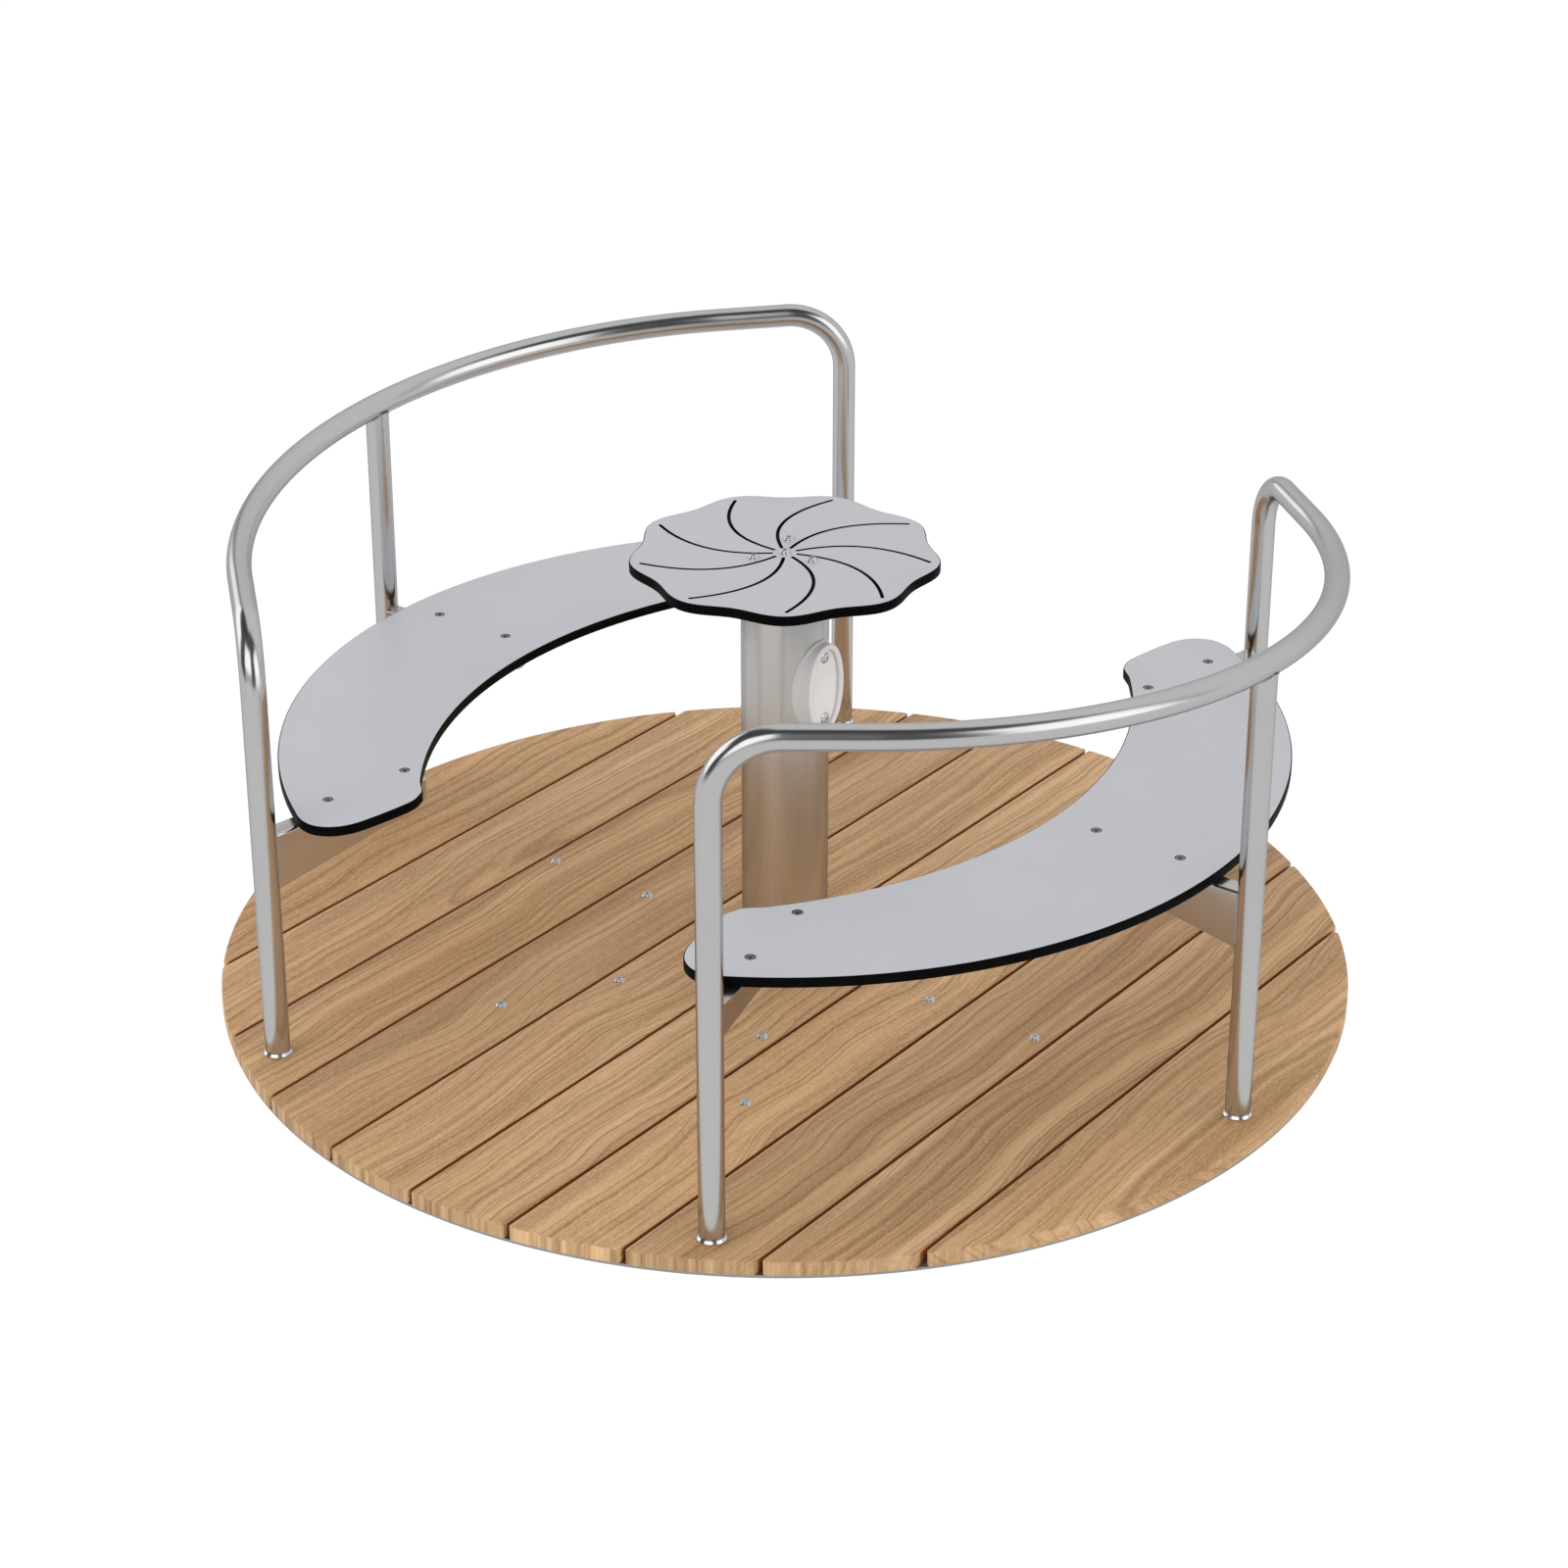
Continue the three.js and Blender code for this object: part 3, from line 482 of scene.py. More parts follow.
MATERIALS = {
    "tube": steel("satin_tube_steel", base=0.64, rough=0.20, lines=0.14, tint=(1.0, 1.0, 0.997)),
    "column": steel("satin_column_steel", base=0.645, rough=0.24, lines=0.12,
                    tint=(1.0, 0.987, 0.966)),
    "sheet": steel("satin_sheet_steel", base=0.66, rough=0.20, tint=(1.0, 0.975, 0.945)),
    "fastener": steel("bright_fastener_steel", base=0.80, rough=0.22, lines=0.2, coords="object"),
    "flush": steel("countersunk_head_steel", base=0.30, rough=0.34, lines=0.4, coords="object"),
    "weld": steel("weld_bead_steel", base=0.50, rough=0.30, lines=0.5, coords="object",
                  tint=(1.0, 0.985, 0.95)),
    "zinc": galvanised("hot_dip_zinc"),
    "disc": steel("satin_disc_steel", base=0.42, rough=0.30, coords="object"),
    # one laminate in two copies: the hand table's copy is painted darker as painted shade, since
    # the higher table gets more light
    "face": laminate("laminate_face", level=1.02),
    "table_face_painted_darker": laminate("table_laminate_painted_darker", level=0.955, seed=4.0),
    "core": phenolic("phenolic_core"),
    # the lighter lip colour is a painted highlight on the plate's lip
    "plate": moulded("moulded_plate", base=(0.63, 0.63, 0.63), lip=(0.84, 0.84, 0.86)),
    "plate_face": moulded("plate_face", base=(0.93, 0.93, 0.925), rough=0.34),
    "rubber": rubber("seal_rubber"),
    "bearing": machined("bearing_steel"),
    "sleeve": machined("turned_sleeve", base=(0.47, 0.475, 0.485), rough=0.28, pitch=2400.0),
    "brass": machined("bearing_brass", base=(0.60, 0.42, 0.17), rough=0.24),
}


# -------------------------------------------------------------------------- plane outlines
def arc_between(centre, start, end, sweep, steps):
    """Points of an arc from centre + start to centre + end, which are sweep radians apart."""
    points = []
    for k in range(steps + 1):
        part = k / steps
        reach = start * sin((1 - part) * sweep) + end * sin(part * sweep)
        points.append(centre + reach / sin(sweep))
    return points


def fillet(outline, radii, steps):
    """Rounds the corners of a closed outline by one radius, or by one for each corner."""
    rounded, count = [], len(outline)
    for i, corner in enumerate(outline):
        radius = radii[i] if isinstance(radii, list) else radii
        if radius <= 0:
            rounded.append(tuple(corner))
            continue
        corner = Vector(corner)
        back = Vector(outline[i - 1]) - corner
        ahead = Vector(outline[(i + 1) % count]) - corner
        back_length, ahead_length = back.length, ahead.length
        back, ahead = back / back_length, ahead / ahead_length
        angle = back.angle(ahead)
        trim = min(radius / math.tan(angle / 2), back_length * 0.48, ahead_length * 0.48)
        radius = trim * math.tan(angle / 2)
        centre = corner + (back + ahead).normalized() * (radius / sin(angle / 2))
        start, end = corner + back * trim - centre, corner + ahead * trim - centre
        rounded += [tuple(p) for p in arc_between(centre, start, end, PI - angle, steps)]
    return rounded


def shift_in(outline, distance):
    """Moves a closed counter-clockwise outline inwards."""
    if abs(distance) < 1e-9:
        return list(outline)
    count, moved = len(outline), []
    for i, (x, y) in enumerate(outline):
        before, after = outline[i - 1], outline[(i + 1) % count]
        edge_in = Vector((x - before[0], y - before[1])).normalized()
        edge_out = Vector((after[0] - x, after[1] - y)).normalized()
        mitre = Vector((-edge_in.y, edge_in.x)) + Vector((-edge_out.y, edge_out.x))
        divisor = max(mitre.length_squared / 2, 0.25)
        moved.append((x + mitre.x * distance / divisor, y + mitre.y * distance / divisor))
    return moved


def within(outline, points):
    """Which of the points lie inside the outline."""
    start = np.array(outline)
    end = np.roll(start, -1, 0)
    x, y = points[:, 0][:, None], points[:, 1][:, None]
    crosses = (start[:, 1] > y) != (end[:, 1] > y)
    with np.errstate(divide="ignore", invalid="ignore"):
        slope = (y - start[:, 1]) * (end[:, 0] - start[:, 0]) / (end[:, 1] - start[:, 1])
        crossing_x = start[:, 0] + slope
    return ((crosses & (x < crossing_x)).sum(1) % 2) == 1


def spline(points, steps):
    """Catmull-Rom curve through the points."""
    knots = [Vector(p) for p in points]
    curve = []
    for i in range(len(knots) - 1):
        p0, p1, p2 = knots[max(i - 1, 0)], knots[i], knots[i + 1]
        p3 = knots[min(i + 2, len(knots) - 1)]
        for k in range(steps):
            t = k / steps
            curve.append(tuple(0.5 * ((2 * p1) + (p2 - p0) * t
                                      + (2 * p0 - 5 * p1 + 4 * p2 - p3) * t * t
                                      + (3 * p1 - p0 - 3 * p2 + p3) * t ** 3)))
    curve.append(tuple(knots[-1]))
    return curve


def strip_outline(start, end, half_width):
    """A rectangle along +X with rounded corners."""
    corners = [(start, -half_width), (end, -half_width), (end, half_width), (start, half_width)]
    return fillet(corners, 3.0, 5)


def hexagon(angle):
    """Radius of a hexagon at an angle, as a part of its corner radius."""
    return cos(PI / 6) / cos((angle % (PI / 3)) - PI / 6)


def plain_hole(x, y, radius, top, low, segments):
    return (x, y, [(radius, top), (radius, low)], segments)


# --------------------------------------------------------------------------- mesh building
class Shape:
    """Collects points (mm) and faces, then makes one closed mesh object of them."""

    def __init__(self):
        self.points, self.grain, self.faces, self.slots = [], [], [], []

    def vert(self, x, y, z, grain=None):
        """Adds a point; grain is its place along the run of the metal, for the texture."""
        self.points.append((x, y, z))
        self.grain.append(grain or (x, y, z))
        return len(self.points) - 1

    def face(self, ids, slot=0):
        self.faces.append(tuple(ids))
        self.slots.append(slot)

    def skin(self, first, second, slot=0):
        """Joins two closed rings of equal count."""
        count = len(first)
        for i in range(count):
            j = (i + 1) % count
            self.face((first[i], first[j], second[j], second[i]), slot)

    def skins(self, rings, slot=0):
        for first, second in zip(rings, rings[1:]):
            self.skin(first, second, slot)

    def fill(self, outer, inner=(), slot=0, plane=slice(0, 2)):
        """Triangulates inside the outer loop and outside the inner ones, seen in a plane."""
        flat, edges, ids = [], [], []
        for loop in [outer, *inner]:
            base, count = len(flat), len(loop)
            for k, vert in enumerate(loop):
                flat.append(Vector(self.points[vert][plane]))
                ids.append(vert)
                edges.append((base + k, base + (k + 1) % count))
        verts, _, faces, origins, _, _ = delaunay_2d_cdt(flat, edges, [], 0, 1e-5)
        back = [ids[o[0]] if o else None for o in origins]
        middles = np.array([[tuple(verts[i]) for i in f] for f in faces]).mean(1)
        keep = within([self.points[v][plane] for v in outer], middles)
        for loop in inner:
            keep &= ~within([self.points[v][plane] for v in loop], middles)
        for face, kept in zip(faces, keep):
            if kept and all(back[i] is not None for i in face):
                self.face([back[i] for i in face], slot)

    def lathe(self, profile, segments, x=0.0, y=0.0, closed=True, hex_rings=0):
        """Turns (r, z) points round a vertical axis. The first hex_rings rings are hexagons."""
        rings = []
        for i, (radius, z) in enumerate(profile):
            if radius < 1e-6:
                rings.append([self.vert(x, y, z)])
                continue
            ring = []
            for a in around(segments):
                reach = radius * (hexagon(a) if i < hex_rings else 1.0)
                out_x, out_y = polar(reach, a)
                ring.append(self.vert(x + out_x, y + out_y, z, (out_x, out_y, z)))
            rings.append(ring)
        for first, second in zip(rings, rings[1:] + (rings[:1] if closed else [])):
            if len(first) == 1:
                for k in range(segments):
                    self.face((first[0], second[(k + 1) % segments], second[k]))
            elif len(second) == 1:
                for k in range(segments):
                    self.face((first[k], first[(k + 1) % segments], second[0]))
            else:
                self.skin(first, second)

    def panel(self, outline, low, top, ease, ease_low=None, steps=3, holes=(), pockets=(), edge=0):
        """A sheet with eased edges. holes: (x, y, [(r, z), ...] from the top down, segments).
        pockets: (rim outline, floor outline, floor z). edge: material slot of all walls."""
        ease_low = ease if ease_low is None else ease_low
        rings = []

        def rim(inset, z):
            rings.append([self.vert(x, y, z) for x, y in shift_in(outline, inset)])

        for k in range(steps + 1):
            a = k / steps * PI / 2
            rim(ease * (1 - sin(a)), top - ease * (1 - cos(a)))
        for k in range(steps + 1):
            a = (1 - k / steps) * PI / 2
            rim(ease_low * (1 - sin(a)), low + ease_low * (1 - cos(a)))
        self.skins(rings, edge)
        top_loops, low_loops = [], []
        for x, y, profile, segments in holes:
            walls = [[self.vert(x + r * cos(a), y + r * sin(a), z) for a in around(segments)]
                     for r, z in profile]
            self.skins(walls, edge)
            top_loops.append(walls[0])
            low_loops.append(walls[-1])
        for mouth, floor, floor_z in pockets:
            mouth_ring = [self.vert(x, y, top) for x, y in mouth]
            floor_ring = [self.vert(x, y, floor_z) for x, y in floor]
            self.skin(mouth_ring, floor_ring, edge)
            self.fill(floor_ring, slot=edge)
            top_loops.append(mouth_ring)
        self.fill(rings[0], top_loops)
        self.fill(rings[-1], low_loops)

    def cross_ring(self, centre, axes, radius, segments, along=None):
        """A ring across a path; along is the distance run, for the grain."""
        first, second = axes
        ring = []
        for a in around(segments):
            grain = None if along is None else (*polar(radius, a), along)
            ring.append(self.vert(*(centre + (first * cos(a) + second * sin(a)) * radius), grain))
        return ring

    def make(self, name, materials, node, slot, body="platform", angle=32, turn=0.0):
        mesh = bpy.data.meshes.new(name)
        c, s = cos(turn), sin(turn)
        mesh.from_pydata([((x * c - y * s) * MM, (x * s + y * c) * MM, z * MM)
                          for x, y, z in self.points], [], self.faces)
        for material in materials:
            mesh.materials.append(MATERIALS.get(material, material))
        mesh.polygons.foreach_set("material_index", self.slots)
        grain = mesh.attributes.new("grain", "FLOAT_VECTOR", "POINT")
        grain.data.foreach_set("vector", [q * MM for g in self.grain for q in g])
        bm = bmesh.new()
        bm.from_mesh(mesh)
        bmesh.ops.remove_doubles(bm, verts=bm.verts, dist=2e-7)
        # slivers laid across a notch
        extra = [f for f in bm.faces if {1, 3} <= {len(e.link_faces) for e in f.edges}]
        if extra:
            bmesh.ops.delete(bm, geom=extra, context="FACES")
        bmesh.ops.recalc_face_normals(bm, faces=bm.faces)
        # sliver triangles that were dropped
        gaps = [e for e in bm.edges if len(e.link_faces) == 1]
        if gaps:
            bmesh.ops.holes_fill(bm, edges=gaps, sides=4)
            bmesh.ops.recalc_face_normals(bm, faces=bm.faces)
        bm.to_mesh(mesh)
        bm.free()
        mesh.polygons.foreach_set("use_smooth", [True] * len(mesh.polygons))
        mesh.set_sharp_from_angle(angle=math.radians(angle))
        piece = bpy.data.objects.new(name, mesh)
        scene.collection.objects.link(piece)
        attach(piece, body)
        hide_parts(node)


def path_axes(path):
    """Two cross directions at each point of a path, carried along without twist."""
    last = len(path) - 1
    tangents = []
    for i, point in enumerate(path):
        direction = Vector((0, 0, 0))
        if i > 0:
            direction += (point - path[i - 1]).normalized()
        if i < last:
            direction += (path[i + 1] - point).normalized()
        tangents.append(direction.normalized())
    first = Vector((0, 0, 1)) if abs(tangents[0].z) < 0.9 else Vector((1, 0, 0))
    axes = []
    for tangent in tangents:
        first = (first - tangent * first.dot(tangent)).normalized()
        axes.append((first, tangent.cross(first)))
    return axes


def sweep_tube(shape, path, radius, bore, segments):
    """An open-ended tube along a path."""
    axes = path_axes(path)
    runs = [0.0]
    for point, after in zip(path, path[1:]):
        runs.append(runs[-1] + (after - point).length)
    outer, inner = [[shape.cross_ring(point, pair, r, segments, along)
                     for point, pair, along in zip(path, axes, runs)] for r in (radius, bore)]
    shape.skins(outer)
    shape.skins(inner)
    shape.skin(outer[0], inner[0])
    shape.skin(outer[-1], inner[-1])


# ---------------------------------------------------------------------------------- screws
def socket_rings(radius, floor_z, rim_z, lead):
    """Profile of a hexagon socket, from its floor centre to its rim."""
    return [(0.0, floor_z - 0.5), (radius * 0.55, floor_z), (radius, floor_z),
            (radius, rim_z - lead), (radius + lead, rim_z)]


def shank(radius, top_z, tip_z):
    """Profile of a screw's shank with a bevelled tip."""
    return [(radius, top_z), (radius, tip_z + 0.8), (radius - 0.8, tip_z), (0.0, tip_z)]


def flanged_screw(x, y, surface_z, shank_r, tip_z, flange_r, head_r, head_h, socket):
    """Button head with a thin flange and a hexagon socket, standing just off a surface."""
    z = surface_z + 0.05
    crown, lip = z + head_h, z + 1.25
    flat_r = socket + 1.0
    profile = socket_rings(socket, z + head_h * 0.34, crown, lead=0.45)
    hex_rings = len(profile)
    for k in range(10):          # the dome
        a = k / 9 * PI / 2
        profile.append((flat_r + (head_r - flat_r) * sin(a) ** 0.9,
                        lip + 0.35 + (crown - lip - 0.35) * cos(a) ** 0.8))
    profile += [(head_r + 0.25, lip + 0.05), (flange_r - 0.7, lip - 0.15),
                (flange_r - 0.2, lip - 0.4), (flange_r, z + 0.45), (flange_r - 0.15, z + 0.1),
                (flange_r - 0.4, z)]
    profile += shank(shank_r, z, tip_z)
    shape = Shape()
    shape.lathe(profile, 56, x, y, closed=False, hex_rings=hex_rings)
    return shape


def flush_screw(x, y, z, head_r, cone, shank_r, tip_z, socket):
    """Countersunk head with a hexagon socket, its face at z."""
    profile = socket_rings(socket, z - 2.6, z, lead=0.35)
    hex_rings = len(profile)
    profile += [(head_r - 0.5, z), (head_r, z - 0.35)] + shank(shank_r, z - cone, tip_z)
    shape = Shape()
    shape.lathe(profile, 48, x, y, closed=False, hex_rings=hex_rings)
    return shape


# ------------------------------------------------------------------------------------ deck
PLANK_PITCH, PLANK_GAP = 141.5, 5.0
PLANK_CORNER_R = 4.5            # where an edge meets the rim
NOTCH_R = 60.5                  # half-round cuts for the column

PLANKS = [  # pith x (m), depth of the pith (m), lean, seed, tone, ring width (m), warmth
    (-0.790, -0.060, 0.016, 1.7, 1.16, 0.0100, 1.7),
    (-0.430, 0.075, -0.022, 4.3, 1.16, 0.0088, 0.2),
    (-0.560, -0.080, 0.030, 7.9, 1.07, 0.0105, 1.6),
    (-0.140, 0.060, 0.014, 11.2, 0.93, 0.0090, 1.1),
    (-0.250, -0.070, -0.028, 15.6, 1.04, 0.0084, 0.3),
    (0.230, 0.065, 0.024, 19.1, 1.01, 0.0102, 0.9),
    (0.060, -0.055, -0.018, 23.8, 1.21, 0.0092, -1.5),
    (0.520, 0.085, 0.034, 28.4, 0.96, 0.0086, 1.2),
    (0.330, -0.060, -0.020, 33.7, 1.05, 0.0104, 0.5),
    (0.520, 0.070, 0.026, 38.5, 1.13, 0.0094, 0.6),
]
LAST_PLANK, MIDDLE_PLANK = len(PLANKS) - 1, len(PLANKS) // 2


def plank_outline(i):
    """Counter-clockwise outline, and the x of the two long edges."""
    k = i - MIDDLE_PLANK
    has_left, has_right = i > 0, i < LAST_PLANK
    x0 = k * PLANK_PITCH + PLANK_GAP / 2 if has_left else -DECK_R
    x1 = (k + 1) * PLANK_PITCH - PLANK_GAP / 2 if has_right else DECK_R
    corner_steps = 5 if has_left and has_right else 6
    outline = []

    def centre(x):
        """Corner centre inside the rim at x, and its angle from the column."""
        y = sqrt((DECK_R - PLANK_CORNER_R) ** 2 - x * x)
        return x, y, atan2(y, x)

    def corner(x, y, start, end):
        for j in range(corner_steps + 1):
            dx, dy = polar(PLANK_CORNER_R, start + (end - start) * j / corner_steps)
            outline.append((x + dx, y + dy))

    def rim(start, end):
        steps = max(8, int(abs(end - start) / (0.75 * DEG)))
        for j in range(1, steps):
            outline.append(polar(DECK_R, start + (end - start) * j / steps))

    def notch(start, turn):
        for j in range(33):
            outline.append(polar(NOTCH_R, start + turn * j / 32))

    if has_left:
        left_x, left_y, left = centre(x0 + PLANK_CORNER_R)
        corner(left_x, -left_y, PI, TAU - left)
    if has_right:
        right_x, right_y, right = centre(x1 - PLANK_CORNER_R)
    if has_left:
        rim(-left, -right if has_right else left)
    if has_right:
        corner(right_x, -right_y, -right, 0)
        if i == MIDDLE_PLANK - 1:
            a = math.acos(x1 / NOTCH_R)
            notch(-a, 2 * a - TAU)
        corner(right_x, right_y, 0, right)
        rim(right, left if has_left else TAU - right)
    if has_left:
        corner(left_x, left_y, left, PI)
        if i == MIDDLE_PLANK:
            a = math.acos(x0 / NOTCH_R)
            notch(a, -2 * a)
    return outline, x0, x1


def planks():
    post_hole = [(POST_HOLE_R + 0.5, DECK_TOP), (POST_HOLE_R, DECK_TOP - 0.5),
                 (POST_HOLE_R, PLANK_Z0)]
    for i, look in enumerate(PLANKS):
        outline, x0, x1 = plank_outline(i)
        holes = [(x, y, post_hole, 40) for x, y in POSTS if x0 < x < x1]
        holes += [plain_hole(x, y, DECK_HOLE_R, DECK_TOP, PLANK_Z0, 20)
                  for pair in DECK_SCREWS for x, y in pair if x0 < x < x1]
        shape = Shape()
        shape.panel(outline, PLANK_Z0, DECK_TOP, ease=1.6, ease_low=0.6, holes=holes)
        name = f"plank_{i + 1:02d}"
        shape.make(name + "_board", [wood(name + "_wood", *look)], name, "timber", angle=40)


def deck_disc():
    """The sheet under the planks."""
    holes = [plain_hole(0, 0, 70, DISC_Z1, DISC_Z0, 96)]
    holes += [plain_hole(x, y, POST_HOLE_R, DISC_Z1, DISC_Z0, 32) for x, y in POSTS]
    holes += [plain_hole(x, y, DECK_HOLE_R, DISC_Z1, DISC_Z0, 16)
              for pair in DECK_SCREWS for x, y in pair]
    shape = Shape()
    shape.panel(circle(DECK_R - 1.5, 360), DISC_Z0, DISC_Z1, ease=0.5, steps=2, holes=holes)
    shape.make("deck_disc_sheet", ["disc"], "deck_disc", "galvanised")


def deck_screws():
    """Two screws over each frame arm and the tapped strip under the arm."""
    strip_z1 = FRAME_TOP - ARM_T - GAP
    strip = strip_outline(DECK_SCREW_RADII[0] - 14, DECK_SCREW_RADII[1] + 14, 11)
    for i, pair in enumerate(DECK_SCREWS):
        node = f"deck_screw_pair_{i + 1}"
        for k, (x, y) in enumerate(pair):
            shape = flanged_screw(x, y, DECK_TOP, shank_r=4.0, tip_z=strip_z1 - 4,
                                  flange_r=7.7, head_r=6.3, head_h=3.9, socket=2.9)
            shape.make(f"deck_screw_{i + 1}_{k + 1}", ["fastener"], node, "fastener")
        shape = Shape()
        shape.panel(strip, strip_z1 - STRIP_T, strip_z1, ease=0.4, steps=2)
        shape.make(node + "_strip", ["zinc"], node, "fastener", turn=POST_ANGLES[i])


# ------------------------------------------------------------------------- column and base
BASE_R, BASE_PCD, BASE_HOLE_R = 200.0, 320.0, 7.1
SLEEVE_R, SPACER_R = 60.0, 66.0
LOWER_BEARING_Z, UPPER_BEARING_Z, BEARING_HALF = 46.0, 84.0, 14.0


def column_and_base():
    foot = BASE_T + GAP
    head = MOUNT_TOP - MOUNT_T - GAP
    bore = COLUMN_R - COLUMN_WALL
    shape = Shape()
    shape.lathe([(bore, foot), (COLUMN_R, foot), (COLUMN_R, head - 0.6), (COLUMN_R - 0.6, head),
                 (bore, head)], 128)
    shape.make("column_tube_body", ["column"], "column_tube", "stainless", body="stator")

    hole = [(BASE_HOLE_R + 0.9, BASE_T), (BASE_HOLE_R, BASE_T - 0.9), (BASE_HOLE_R, 0)]
    holes = [(*polar(BASE_PCD / 2, (30 + 60 * k) * DEG), hole, 32) for k in range(6)]
    shape = Shape()
    shape.panel(circle(BASE_R, 180), 0, BASE_T, ease=1.4, ease_low=0.6, holes=holes)
    shape.make("base_flange_plate", ["zinc"], "base_flange", "galvanised", body="stator")

    # sleeve inside the bearings, with a thicker spacer between them
    spacer_low = LOWER_BEARING_Z + BEARING_HALF + GAP
    spacer_top = UPPER_BEARING_Z - BEARING_HALF - GAP
    sleeve_top, sleeve_bore = UPPER_BEARING_Z + BEARING_HALF, COLUMN_R + 0.6
    profile = [(sleeve_bore, foot), (SLEEVE_R, foot), (SLEEVE_R, spacer_low),
               (SPACER_R, spacer_low), (SPACER_R, spacer_top), (SLEEVE_R, spacer_top),
               (SLEEVE_R, sleeve_top), (sleeve_bore, sleeve_top)]
    shape = Shape()
    shape.lathe(fillet(profile, [0, 0.8, 0, 0.6, 0.6, 0, 0.8, 0], 2), 96)
    shape.make("axle_sleeve_turned", ["sleeve"], "axle_sleeve", "galvanised", body="stator")


# ------------------------------------------------------------------------------ hand table
TABLE_MEAN_R, TABLE_LOBE, TABLE_LOBES = 193.6, 6.8, 9
TABLE_PHASE = 26.7 * DEG
TABLE_SCREWS = [(0, 0)] + [polar(43.0, a * DEG) for a in (0, 120, 240)]
TABLE_HOLE_R = 3.5
GROOVE_START_R, GROOVE_END_R = 17.2, 186.0
GROOVE_DEPTH, GROOVE_TOP_HALF, GROOVE_FLOOR_HALF = 2.8, 2.4, 2.2
GROOVE_LINE = [  # radius, angle (degrees) along the curved centre line of a groove
    (17, 21), (25, 20.5), (40, 19), (60, 16), (80, 12.5), (100, 8), (120, 3.5), (140, -1.5),
    (160, -6.3), (170, -8.7), (180, -11), (186.5, -12.5),
]
GROOVE_FIT = np.polyfit(*zip(*GROOVE_LINE), 4)


def table_outline():
    return [polar(TABLE_MEAN_R + TABLE_LOBE * cos(TABLE_LOBES * (a - TABLE_PHASE)), a)
            for a in around(378)]


def groove_line(k):
    """Centre line of groove k, one to each lobe."""
    line = []
    for j in range(41):
        radius = GROOVE_START_R + (GROOVE_END_R - GROOVE_START_R) * j / 40
        angle = float(np.polyval(GROOVE_FIT, radius)) + 360 / TABLE_LOBES * k
        line.append(polar(radius, angle * DEG))
    return line


def capsule(line, half_width):
    """Closed counter-clockwise outline round a line, with round ends."""
    last, steps = len(line) - 1, 7
    points = [Vector(p) for p in line]
    normals = []
    for i in range(last + 1):
        tangent = (points[min(i + 1, last)] - points[max(i - 1, 0)]).normalized()
        normals.append(Vector((-tangent.y, tangent.x)))

    def cap(centre, start):
        angle = atan2(start.y, start.x)
        for j in range(1, steps):
            dx, dy = polar(half_width, angle + PI * j / steps)
            outline.append((centre.x + dx, centre.y + dy))

    outline = [tuple(p - n * half_width) for p, n in zip(points, normals)]
    cap(points[-1], -normals[-1])
    outline += [tuple(points[i] + normals[i] * half_width) for i in range(last, -1, -1)]
    cap(points[0], normals[0])
    return outline


def hand_table():
    lines = [groove_line(k) for k in range(TABLE_LOBES)]
    pockets = [(capsule(line, GROOVE_TOP_HALF), capsule(line, GROOVE_FLOOR_HALF),
                TABLE_TOP - GROOVE_DEPTH) for line in lines]
    holes = [plain_hole(x, y, TABLE_HOLE_R, TABLE_TOP, TABLE_Z0, 20) for x, y in TABLE_SCREWS]
    shape = Shape()
    shape.panel(table_outline(), TABLE_Z0, TABLE_TOP, ease=1.4, ease_low=0.9, holes=holes,
                pockets=pockets, edge=1)
    shape.make("hand_table_panel", ["table_face_painted_darker", "core"], "hand_table", "panel", body="stator",
               angle=38)

    mount_low = MOUNT_TOP - MOUNT_T
    holes = [plain_hole(x, y, TABLE_HOLE_R, MOUNT_TOP, mount_low, 20) for x, y in TABLE_SCREWS]
    shape = Shape()
    shape.panel(circle(COLUMN_R - 1.5, 96), mount_low, MOUNT_TOP, ease=0.5, holes=holes)
    shape.make("table_mount_disc", ["sheet"], "table_mount_plate", "stainless", body="stator")

    names = ["table_centre_screw", "table_screw_1", "table_screw_2", "table_screw_3"]
    for name, (x, y) in zip(names, TABLE_SCREWS):
        shape = flanged_screw(x, y, TABLE_TOP, shank_r=3.0, tip_z=MOUNT_TOP - 7,
                              flange_r=8.2, head_r=6.6, head_h=4.3, socket=2.9)
        shape.make(name + "_button", ["fastener"], name, "fastener", body="stator")


# ----------------------------------------------------------------------------- label plate
# An upright oval housing on the +X side of the column; its outline lies in Y and Z.
LABEL_Z, LABEL_SCREW_DZ = DECK_TOP + 402.5, 42.9
LABEL_LIP_X, LABEL_FACE_X = 69.0, 64.0
LABEL_HALF_W, LABEL_HALF_H = 37.0, 61.0
LIP_R, LIP_INNER_R = 3.6, 2.0   # rounding of the lip's outer and inner edge
YZ = slice(1, 3)

LABEL_FLARE = [  # inset, part of the way from the column to the start of the lip
    (-3.6, 0.02), (-2.0, 0.045), (-0.9, 0.10), (-0.3, 0.20), (0.0, 0.36), (0.1, 0.7), (0.2, 1.0),
]


def label_oval(inset):
    """The plate outline made smaller all round, as (y, z) pairs."""
    stretch = 0.30 * min(max(0.0, inset - 2.0), 8.0)
    points = []
    for a in around(120):
        across = cos(a)
        points.append(((LABEL_HALF_W - inset) * math.copysign(abs(across) ** 0.86, across),
                       (LABEL_HALF_H - inset + stretch) * sin(a)))
    return points


def column_x(y):
    """x of the saddle that lies on the column."""
    return sqrt((COLUMN_R + 0.35) ** 2 - y * y)


